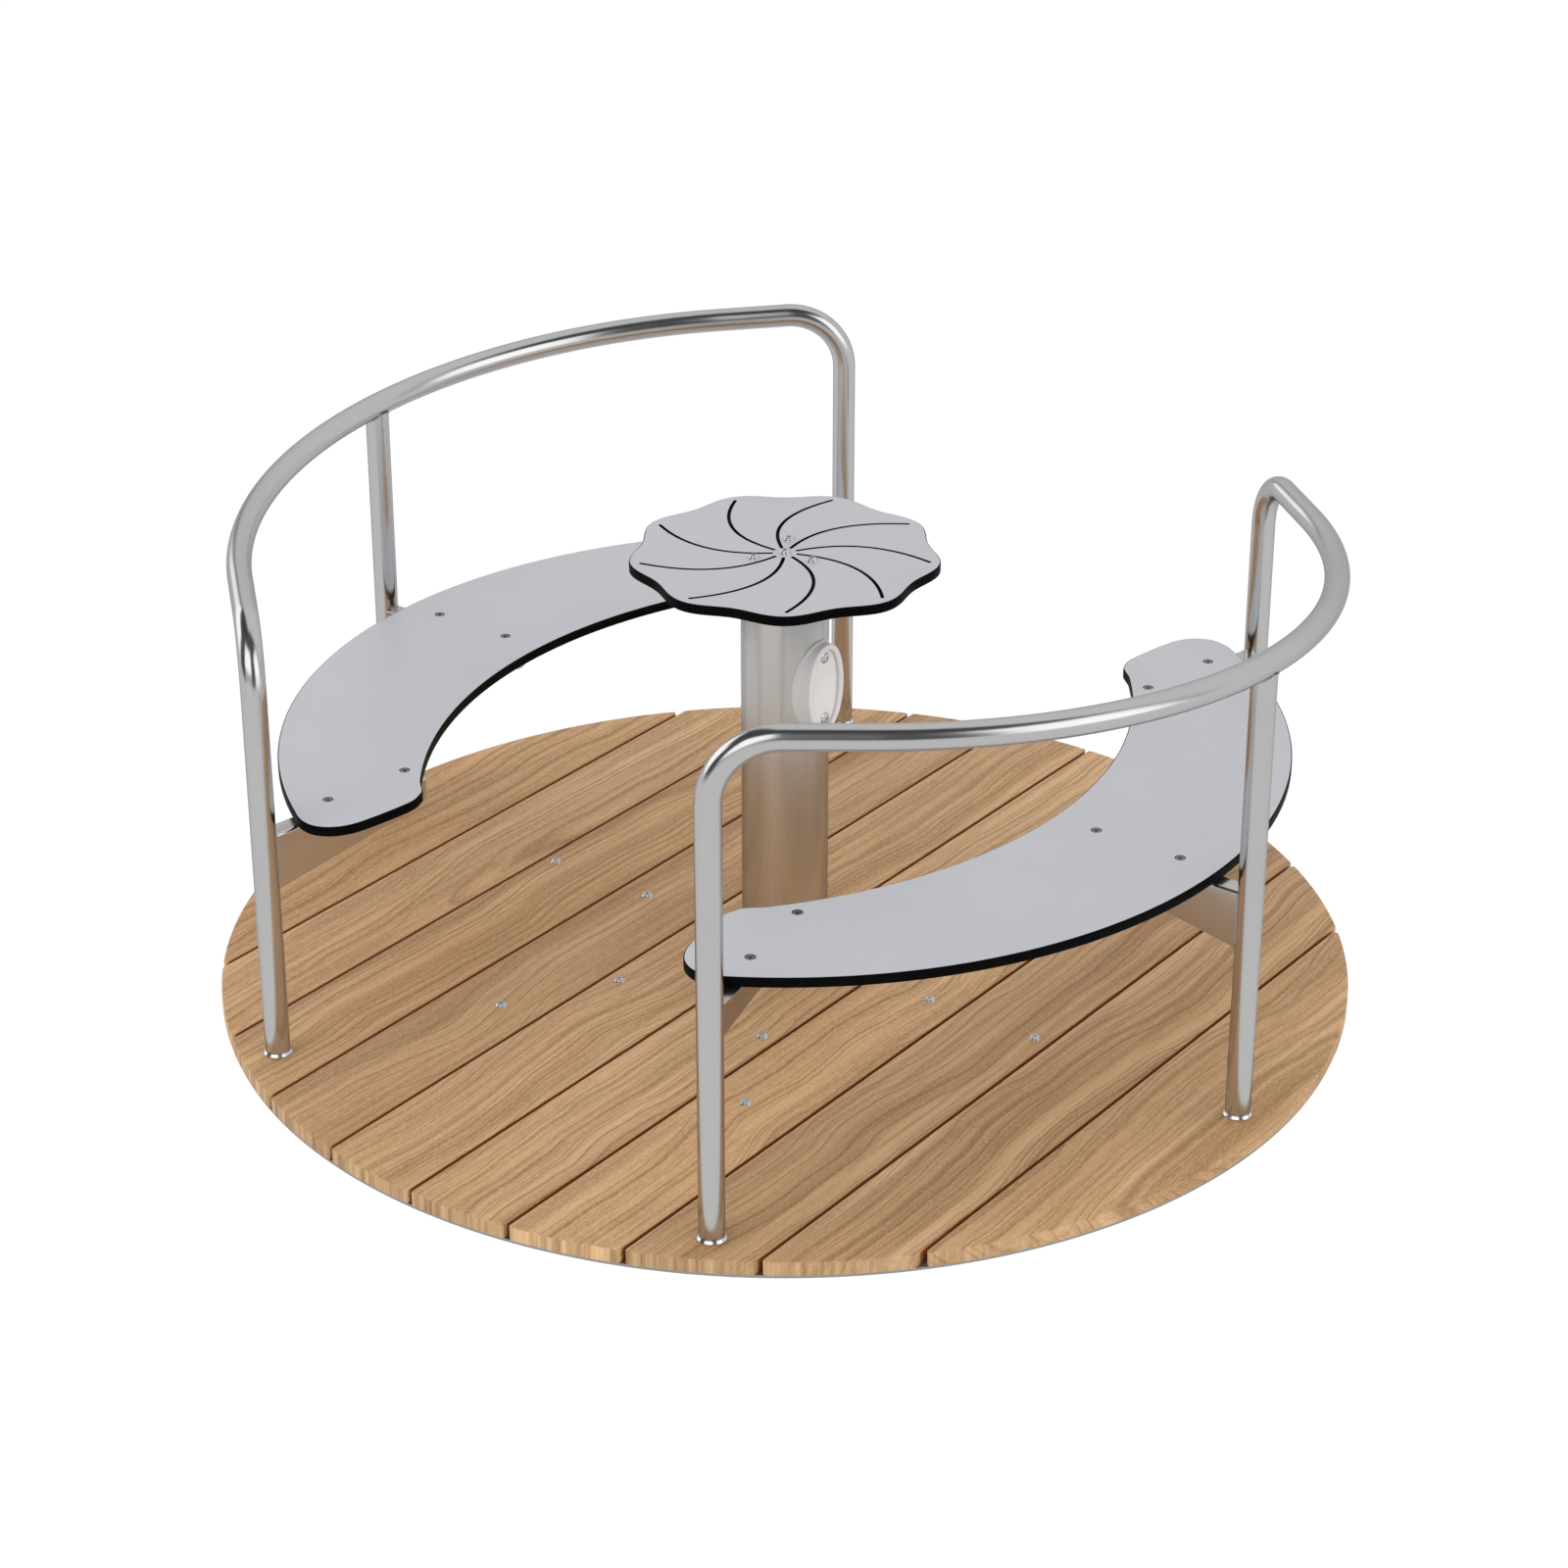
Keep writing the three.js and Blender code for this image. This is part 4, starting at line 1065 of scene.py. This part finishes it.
def label_plate():
    shape = Shape()

    def level_ring(inset, x):
        return [shape.vert(x, y, LABEL_Z + z) for y, z in label_oval(inset)]

    def flare_ring(inset, part):
        ring = []
        for y, z in label_oval(inset):
            start = column_x(min(abs(y), COLUMN_R - 4))
            ring.append(shape.vert(start + (LABEL_LIP_X - LIP_R - start) * part, y, LABEL_Z + z))
        return ring

    back = [shape.vert(column_x(y), y, LABEL_Z + z) for y, z in label_oval(-3.6)]
    rings = [back] + [flare_ring(inset, part) for inset, part in LABEL_FLARE]
    for k in range(1, 7):        # rounded outer edge of the lip
        a = k / 6 * PI / 2
        rings.append(level_ring(0.2 + LIP_R * (1 - cos(a)), LABEL_LIP_X - LIP_R + LIP_R * sin(a)))
    for k in range(1, 6):        # its inner edge, sloping down to the face
        a = k / 5 * PI / 2 * 0.82
        rings.append(level_ring(7.6 + LIP_INNER_R * sin(a),
                                LABEL_LIP_X - LIP_INNER_R * (1 - cos(a))))
    for inset, rise in ((10.35, 0.9), (10.7, 0.25), (11.4, 0.0)):
        rings.append(level_ring(inset, LABEL_FACE_X + rise))
    shape.skins(rings)

    face_loops, back_loops = [], []
    for side in (1, -1):
        walls = []
        for radius, on_face in ((8.05, True), (2.9, True), (2.9, False)):
            walls.append([shape.vert(LABEL_FACE_X if on_face else column_x(y), y,
                                     LABEL_Z + side * LABEL_SCREW_DZ + z)
                          for y, z in circle(radius, 40)])
        shape.skins(walls)
        face_loops.append(walls[0])
        back_loops.append(walls[-1])
    shape.fill(rings[-1], face_loops, slot=1, plane=YZ)
    shape.fill(back, back_loops, plane=YZ)
    shape.make("label_plate_moulding", ["plate", "plate_face"], "label_plate", "plate",
               body="stator", angle=34)

    for side, name in ((1, "label_screw_top"), (-1, "label_screw_bottom")):
        shape = flanged_screw(0, 0, 0, shank_r=2.3, tip_z=-17.5, flange_r=7.8, head_r=6.3,
                              head_h=4.0, socket=2.6)
        # laid over so that the head faces +X
        shape.points = [(LABEL_FACE_X + z, y, LABEL_Z + side * LABEL_SCREW_DZ - x)
                        for x, y, z in shape.points]
        shape.make(name + "_button", ["fastener"], name, "fastener", body="stator")


# ------------------------------------------------------------------------------- handrails
POST_FOOT_Z = 94.0
RAIL_ARC_R, RAIL_ARC_X = 656.7, 47.15
RAIL_Z, RAIL_SLOPE, RAIL_BEND_R = DECK_TOP + 613.9, -0.065, 80.0
COLLAR_R, COLLAR_TOP = 19.2, DECK_TOP + 5.6
TURNS = (("a", 0.0), ("b", PI))


def rail_z(y):
    return RAIL_Z + RAIL_SLOPE * y


def rail_path():
    """Up one end post, round a bend, along the arc in its sloping plane, and down again."""
    post_x, post_y = polar(POST_PCR, 60 * DEG)
    from_centre = post_x - RAIL_ARC_X
    straight = sqrt(from_centre ** 2 + post_y ** 2 - RAIL_ARC_R ** 2)
    arc_end = atan2(post_y, from_centre) - math.atan(straight / RAIL_ARC_R)

    def arc_point(angle):
        x, y = polar(RAIL_ARC_R, angle)
        return Vector((RAIL_ARC_X + x, y, rail_z(y)))

    def end(side):
        touch = arc_point(side * arc_end)
        y = side * post_y
        corner = Vector((post_x, y, rail_z(y)))
        ahead = (touch - corner).normalized()
        down = Vector((0, 0, -1))
        angle = math.acos(ahead.dot(down))
        trim = RAIL_BEND_R / math.tan(angle / 2)
        low, high = corner + down * trim, corner + ahead * trim
        centre = corner + (ahead + down).normalized() * (RAIL_BEND_R / sin(angle / 2))
        points = [Vector((post_x, y, POST_FOOT_Z + (low.z - POST_FOOT_Z) * k / 12))
                  for k in range(12)]
        points += arc_between(centre, low - centre, high - centre, PI - angle, 26)
        points += [high.lerp(touch, k / 5) for k in range(1, 5)]
        return points

    middle = [arc_point(-arc_end + 2 * arc_end * k / 110) for k in range(111)]
    return end(-1) + middle + end(1)[::-1]


def saddle_z(angle, radius=TUBE_R):
    """Height at which the middle post's wall meets the rail."""
    x, y = POST_PCR + radius * cos(angle), radius * sin(angle)
    offset = x - (RAIL_ARC_X + sqrt(RAIL_ARC_R ** 2 - y * y))
    reach = 0.87 * TUBE_R        # the post stops short of the rail's sides
    offset = max(-reach, min(reach, offset))
    return rail_z(y) - sqrt(TUBE_R ** 2 - offset * offset) / cos(math.atan(RAIL_SLOPE))


def middle_post():
    """The post under the middle of the rail, its top cut to the rail."""
    shape = Shape()

    def ring(radius, z):
        verts = []
        for a in around(64):
            x, y = polar(radius, a)
            top = saddle_z(a, radius) - 0.05 if z is None else z
            grain = (x, y, RAIL_Z if z is None else z)
            verts.append(shape.vert(POST_PCR + x, y, top, grain))
        return verts

    outer, inner = [], []
    for z in [POST_FOOT_Z + 60 * k for k in range(10)] + [None]:
        outer.append(ring(TUBE_R, z))
        inner.append(ring(TUBE_BORE_R, z))
    shape.skins(outer)
    shape.skins(inner)
    shape.skin(outer[0], inner[0])
    shape.skin(outer[-1], inner[-1])
    return shape


def saddle_weld():
    """Rippled bead round the joint of the middle post and the rail."""
    shape = Shape()
    rings = []
    for a in around(120):
        bead_r = 1.25 + 0.12 * sin(60 * a)
        ring = []
        for t in around(12):
            x, y = polar(TUBE_R + 0.25 + bead_r * cos(t), a)
            ring.append(shape.vert(POST_PCR + x, y, saddle_z(a) - 0.5 + bead_r * sin(t)))
        rings.append(ring)
    shape.skins(rings + rings[:1])
    return shape


def handrails():
    path = rail_path()
    for which, turn in TURNS:
        node = f"handrail_{which}"
        shape = Shape()
        sweep_tube(shape, path, TUBE_R, TUBE_BORE_R, 56)
        shape.make(node + "_bent_tube", ["tube"], node, "stainless", turn=turn)
        middle_post().make(node + "_middle_post", ["tube"], node, "stainless", turn=turn,
                           angle=50)
        saddle_weld().make(node + "_weld", ["weld"], node, "stainless", turn=turn, angle=60)


def post_collars():
    """A turned ring round each post, on the deck."""
    foot, bore = DECK_TOP + GAP, TUBE_R + 0.25
    profile = [(bore, foot), (COLLAR_R, foot), (COLLAR_R, foot + 1.7),
               (bore + 0.75, COLLAR_TOP - 0.25), (bore + 0.3, COLLAR_TOP), (bore, COLLAR_TOP)]
    profile = fillet(profile, [0, 0.4, 0.7, 0.3, 0, 0], 3)
    for i, (x, y) in enumerate(POSTS):
        shape = Shape()
        shape.lathe(profile, 72, x, y)
        node = f"post_collar_{i + 1}"
        shape.make(node + "_ring", ["fastener"], node, "stainless")


# --------------------------------------------------------------------------------- benches
SEAT_TOP, SEAT_T = DECK_TOP + 326.5, 13.0
SEAT_Z0 = SEAT_TOP - SEAT_T
SEAT_OUT_R, SEAT_IN_R, SEAT_IN_X = 657.5, 633.0, -214.0
SEAT_OUT_END = atan2(561, 343)  # angle at which the outer arc ends
SEAT_SCREW_ALONG = (100.5, 221.5)
SEAT_HEAD_R, SEAT_CONE = 6.45, 3.9
SEAT_HOLE = [(SEAT_HEAD_R + 0.55, SEAT_TOP), (SEAT_HEAD_R + 0.3, SEAT_TOP - 0.4),
             (3.9, SEAT_TOP - 4.6), (3.9, SEAT_Z0)]
SEAT_END = [  # x, y round the +Y end of bench a, from the outer arc to the inner one
    (330, 568.8), (315, 573.6), (300, 574.2), (285, 568.2), (273, 558), (263.5, 543),
    (258, 526), (253, 502), (248.5, 475), (246, 455), (246.6, 443), (250, 431.5), (256, 419.5),
]
SEAT_IN_Y = 402                 # where the inner arc starts

BRACKET_HALF_W, BRACKET_T, BRACKET_LEN = 12.5, 3.0, 245.0
BRACKET_SIDES = (1, 1, -1, 1, 1, -1)        # side of the folded web, seen from the post
BRACKET_TURNS = (-1, 0, 1, -1, 0, 1)        # the end brackets are turned from the radius
END_BRACKET_TURN = 20 * DEG
BRACKET_DEEP, BRACKET_SHALLOW = 75.0, 36.0
WEB_START = 17.55
WEB_SLOPE = (BRACKET_DEEP - BRACKET_SHALLOW) / (BRACKET_LEN - WEB_START)
FLANGE_Z1 = SEAT_Z0 - GAP
FLANGE_Z0 = FLANGE_Z1 - BRACKET_T
BRACKET_STATIONS = [  # distance from the post axis (None: cut round the post), nose rise
    (None, 0.0), (30, 0.0), (60, 0.0), (100, 0.0), (140, 0.0), (180, 0.0), (215, 0.0),
    (BRACKET_LEN - 14, 0.0), (BRACKET_LEN - 7, 2.0), (BRACKET_LEN - 2, 6.5), (BRACKET_LEN, 13.0),
]


def seat_outline():
    def inner(y):
        return (SEAT_IN_X + sqrt(SEAT_IN_R ** 2 - y * y), y)

    steps = 5
    # the first and last knots only set the direction, so their spans are dropped
    knots = [polar(SEAT_OUT_R, SEAT_OUT_END - 0.03), polar(SEAT_OUT_R, SEAT_OUT_END),
             *SEAT_END, inner(SEAT_IN_Y), inner(385)]
    end = spline(knots, steps)[steps:-steps - 1]
    outline = [polar(SEAT_OUT_R, -SEAT_OUT_END + 2 * SEAT_OUT_END * k / 130) for k in range(130)]
    outline += end
    outline += [inner(SEAT_IN_Y - 2 * SEAT_IN_Y * k / 84) for k in range(85)]
    outline += [(x, -y) for x, y in reversed(end[1:])]
    return outline


def bracket_point(i, along, across=0.0):
    """A point given along and across bracket i, from its post's axis."""
    x, y = POSTS[i]
    direction = POST_ANGLES[i] + PI + BRACKET_TURNS[i] * END_BRACKET_TURN
    c, s = cos(direction), sin(direction)
    return (x + c * along - s * across, y + s * along + c * across)


def seats():
    holes = [(*bracket_point(i, along), SEAT_HOLE, 40)
             for i in (0, 1, 2) for along in SEAT_SCREW_ALONG]
    for which, turn in TURNS:
        shape = Shape()
        shape.panel(seat_outline(), SEAT_Z0, SEAT_TOP, ease=1.5, ease_low=0.9, holes=holes,
                    edge=1)
        shape.make(f"seat_{which}_panel", ["face", "core"], f"seat_{which}", "panel", angle=38,
                   turn=turn)


def bracket_profile(depth, side):
    """Closed section as (across, down) pairs: a flange with one web on the given side."""
    half, thick, outer_r, inner_r = BRACKET_HALF_W, BRACKET_T, 4.0, 1.2
    section = [(half - 0.3, 0.0)]
    for k in range(9):           # outside of the fold
        dx, dy = polar(outer_r, PI / 2 + k / 8 * PI / 2)
        section.append((-half + outer_r + dx, outer_r - dy))
    section += [(-half, depth - 0.3), (-half + 0.3, depth), (-half + thick - 0.3, depth),
                (-half + thick, depth - 0.3)]
    for k in range(7):           # inside of the fold
        dx, dy = polar(inner_r, PI - k / 6 * PI / 2)
        section.append((-half + thick + inner_r + dx, thick + inner_r - dy))
    section += [(half - 0.3, thick), (half, thick - 0.3), (half, 0.3)]
    return [(-side * across, down) for across, down in section]


def bracket_angle(i):
    shape = Shape()
    rings = []
    for station, nose in BRACKET_STATIONS:
        at_post = station is None
        depth = BRACKET_DEEP - WEB_SLOPE * ((station or WEB_START) - WEB_START) - nose
        ring = []
        for across, down in bracket_profile(depth, BRACKET_SIDES[i]):
            along = sqrt((TUBE_R + 0.15) ** 2 - across * across) if at_post else station
            if at_post and down > 40:        # the web's lower edge
                down = BRACKET_DEEP + WEB_SLOPE * (WEB_START - along)
            x, y = bracket_point(i, along, across)
            ring.append(shape.vert(x, y, FLANGE_Z1 - down, (across, down, along)))
        rings.append(ring)
    shape.skins(rings)
    shape.face(rings[0])
    shape.face(rings[-1])
    return shape


def bracket_weld(i):
    """Rippled bead up the web and over the flange, against the post."""
    half = BRACKET_HALF_W
    run = [(-half, 72.0 - 4 * k) for k in range(17)]                   # across, down
    run += [(-half + 0.2, 3.0), (-half + 1.6, 0.6), (-half + 4.5, -0.1), (-4, -0.1), (0, -0.1),
            (4, -0.1), (8, -0.1), (half - 0.6, -0.1)]
    line = []
    for across, down in run:
        along = sqrt((TUBE_R + 0.3) ** 2 - min(abs(across), TUBE_R) ** 2)
        x, y = bracket_point(i, along + 0.3, -BRACKET_SIDES[i] * across)
        line.append(Vector((x, y, FLANGE_Z1 - 0.9 - down)))
    path = [p.lerp(q, k / 3) for p, q in zip(line, line[1:]) for k in range(3)]
    path.append(line[-1])
    shape = Shape()
    rings = []
    for k, (point, axes) in enumerate(zip(path, path_axes(path))):
        from_end = min(k, len(path) - 1 - k)
        radius = (0.85 + 0.10 * sin(k * 2.1)) * min(1.0, 0.35 + 0.3 * from_end)
        rings.append(shape.cross_ring(point, axes, radius, 8))
    shape.skins(rings)
    shape.face(rings[0])
    shape.face(rings[-1])
    return shape


def seat_brackets():
    """Each bracket with its weld, tapped strip and two countersunk screws."""
    strip_z1 = FLANGE_Z0 - GAP
    strip = strip_outline(SEAT_SCREW_ALONG[0] - 12, SEAT_SCREW_ALONG[1] + 12, 8.5)
    for i in range(6):
        node, pair = f"seat_bracket_{i + 1}", f"seat_screw_pair_{i + 1}"
        bracket_angle(i).make(node + "_angle", ["sheet"], node, "stainless", angle=30)
        bracket_weld(i).make(node + "_weld", ["weld"], node, "stainless", angle=60)
        shape = Shape()
        shape.panel([bracket_point(i, along, across) for along, across in strip],
                    strip_z1 - STRIP_T, strip_z1, ease=0.4, steps=2)
        shape.make(pair + "_strip", ["zinc"], pair, "fastener")
        for k, along in enumerate(SEAT_SCREW_ALONG):
            shape = flush_screw(*bracket_point(i, along), SEAT_TOP - 0.35, SEAT_HEAD_R,
                                SEAT_CONE, shank_r=3.2, tip_z=FLANGE_Z0 - 7.9, socket=2.4)
            shape.make(f"seat_screw_{i + 1}_{k + 1}", ["flush"], pair, "fastener")


# ---------------------------------------------------------- finishes of the kept CAD pieces
CAD_FINISHES = {
    "rotor_frame": "zinc", "hub_seal": "rubber",
    "lower_inner_ring": "bearing", "upper_inner_ring": "bearing",
    "lower_outer_ring": "bearing", "upper_outer_ring": "bearing",
    "lower_ball_cage": "brass", "upper_ball_cage": "brass",
}


def finish_cad_pieces():
    for name, material in CAD_FINISHES.items():
        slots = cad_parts[name].data.materials
        slots.clear()
        slots.append(MATERIALS[material])


# ------------------------------------------------------------------------------ studio (m)
ROOM = 0.74                     # brightness of room and floor as polished steel sees them
NIGHT = 0.05                    # brightness of the dark part of the room
SOFT_BOX = 1.55                 # brightness of the soft boxes
DOME = 1.06                     # brightness of the dome for everything else
FLOOR_R, FLOOR_Z = 60.0, -0.0005

CAMERA_AT = (2.6174, -3.4734, 2.5632)
CAMERA_PITCH = 25.7535 * DEG    # downwards
HEADING = Vector((-0.6018, 0.7986))
HEADING_X = -0.6018 / math.hypot(-0.6018, 0.7986)
HEADING_Y = 0.7986 / math.hypot(-0.6018, 0.7986)


def floor_material():
    """A pale floor that lights the underside. The camera sees it plain white, polished steel
    sees it mid grey, and from below it is clear."""
    mat = Surface("studio_floor")
    point = mat.coords("object")
    color = mat.mix((0.235, 0.235, 0.235), (0.245, 0.245, 0.245),
                    by=mat.noise(point, scale=1.3).fit(span=(0.3, 0.7)))
    grit = mat.bump(mat.noise(point, scale=500.0), distance=0.0001, strength=0.15)
    mat.set(Base_Color=color, Roughness=0.75, Normal=grit, Specular_IOR_Level=0.05,
            Emission_Color=(1.0, 1.0, 1.0, 1.0), Emission_Strength=0.76)
    shader = mat.mix_shader(mat.shader, mat.emission(strength=ROOM),
                            by=mat.source("ShaderNodeLightPath", "Is Glossy Ray"))
    shader = mat.mix_shader(shader, mat.emission(strength=1.02),
                            by=mat.source("ShaderNodeLightPath", "Is Camera Ray"))
    shader = mat.mix_shader(shader, mat.source("ShaderNodeBsdfTransparent", 0),
                            by=mat.source("ShaderNodeNewGeometry", "Backfacing"))
    mat.put(mat.output.inputs["Surface"], shader)
    return mat.material


def floor():
    count = 96
    material = floor_material()
    mesh = bpy.data.meshes.new("studio_floor")
    verts = [(0, 0, FLOOR_Z)] + [(x, y, FLOOR_Z) for x, y in circle(FLOOR_R, count)]
    mesh.from_pydata(verts, [], [(0, 1 + k, 1 + (k + 1) % count) for k in range(count)])
    mesh.materials.append(material)
    ground = bpy.data.objects.new("studio_floor", mesh)
    scene.collection.objects.link(ground)


def camera():
    data = bpy.data.cameras.new("camera")
    data.sensor_width = 36.0
    data.lens = 84.99
    data.shift_x = -0.00057
    data.shift_y = -0.04044
    data.clip_end = 200
    eye = bpy.data.objects.new("camera", data)
    scene.collection.objects.link(eye)
    level = cos(CAMERA_PITCH)
    forward = Vector((HEADING_X * level, HEADING_Y * level, -sin(CAMERA_PITCH)))
    right = Vector((HEADING_Y, -HEADING_X, 0))
    rotation = Matrix((right, right.cross(forward), -forward)).transposed().to_4x4()
    eye.matrix_world = Matrix.Translation(CAMERA_AT) @ rotation
    scene.camera = eye


def studio_dome():
    """A pale dome. Glossy rays see a grey room instead, dark round the camera, with a paler
    patch and three soft boxes."""
    world = bpy.data.worlds.new("studio")
    scene.world = world
    world.use_nodes = True
    graph = Graph(world.node_tree)
    output = graph.node("ShaderNodeOutputWorld")
    background = graph.node("ShaderNodeBackground")
    graph.put(output.inputs[0], Wire(graph, background.outputs[0]))

    # degrees: azimuth from the camera side, positive to the right, and height
    ray = graph.source("ShaderNodeTexCoord", "Generated")
    ray_z = graph.split(ray)[2]
    sideways = graph.vmath("DOT_PRODUCT", ray, (HEADING_Y, -HEADING_X, 0.0), "Value")
    toward = graph.vmath("DOT_PRODUCT", ray, (-HEADING_X, -HEADING_Y, 0.0), "Value")
    azimuth = graph.math("ARCTAN2", sideways, toward) * (1 / DEG)
    height = graph.math("ARCSINE", ray_z) * (1 / DEG)

    def window(value, span, soft):
        start, end = span
        rise = value.fit(span=(start - soft, start + soft), smooth=True)
        return rise * value.fit(span=(end - soft, end + soft), to=(1.0, 0.0), smooth=True)

    def patch(across, up, soft):
        return window(azimuth, across, soft) * window(height, up, soft)

    night = window(azimuth, span=(-156, 86), soft=6) * height.fit(span=(-4.0, 7.0), smooth=True)
    room = ROOM - night * (ROOM - NIGHT)
    room = room + patch(across=(-50, 3), up=(-6, 19), soft=5.0) * 0.50
    boxes = graph.math("MAXIMUM", patch(across=(39, 80), up=(-7, 43), soft=4.0),
                       patch(across=(-53, 5), up=(20, 55), soft=3.0))
    boxes = graph.math("MAXIMUM", boxes, patch(across=(-150, -92), up=(3, 37), soft=3.0))
    glossy = room + boxes * (SOFT_BOX - room)

    level = graph.node("ShaderNodeMix", data_type="FLOAT")
    graph.put(level.inputs[0], graph.source("ShaderNodeLightPath", "Is Glossy Ray"))
    graph.put(level.inputs[2], DOME)
    graph.put(level.inputs[3], glossy)
    graph.put(background.inputs["Strength"], Wire(graph, level.outputs[0]))
    graph.put(background.inputs["Color"], (1.0, 1.0, 1.0, 1.0))


def soft_light(name, place, target, size, watts):
    """A round area light that polished surfaces don't reflect."""
    data = bpy.data.lights.new(name, "AREA")
    data.shape = "DISK"
    data.size = size
    data.energy = watts
    light = bpy.data.objects.new(name, data)
    scene.collection.objects.link(light)
    light.location = place
    light.rotation_mode = "QUATERNION"
    light.rotation_quaternion = (Vector(target) - Vector(place)).to_track_quat("-Z", "Y")
    light.visible_glossy = False


# ----------------------------------------------------------------------------------- build
planks()
deck_disc()
column_and_base()
hand_table()
label_plate()
handrails()
post_collars()
seats()
seat_brackets()
deck_screws()
finish_cad_pieces()

floor()
camera()
studio_dome()
soft_light("key", place=(-1.6, -3.6, 4.2), target=(0, 0, 0.3), size=3.0, watts=26)
scene.view_settings.view_transform = "Standard"
scene.view_settings.look = "None"
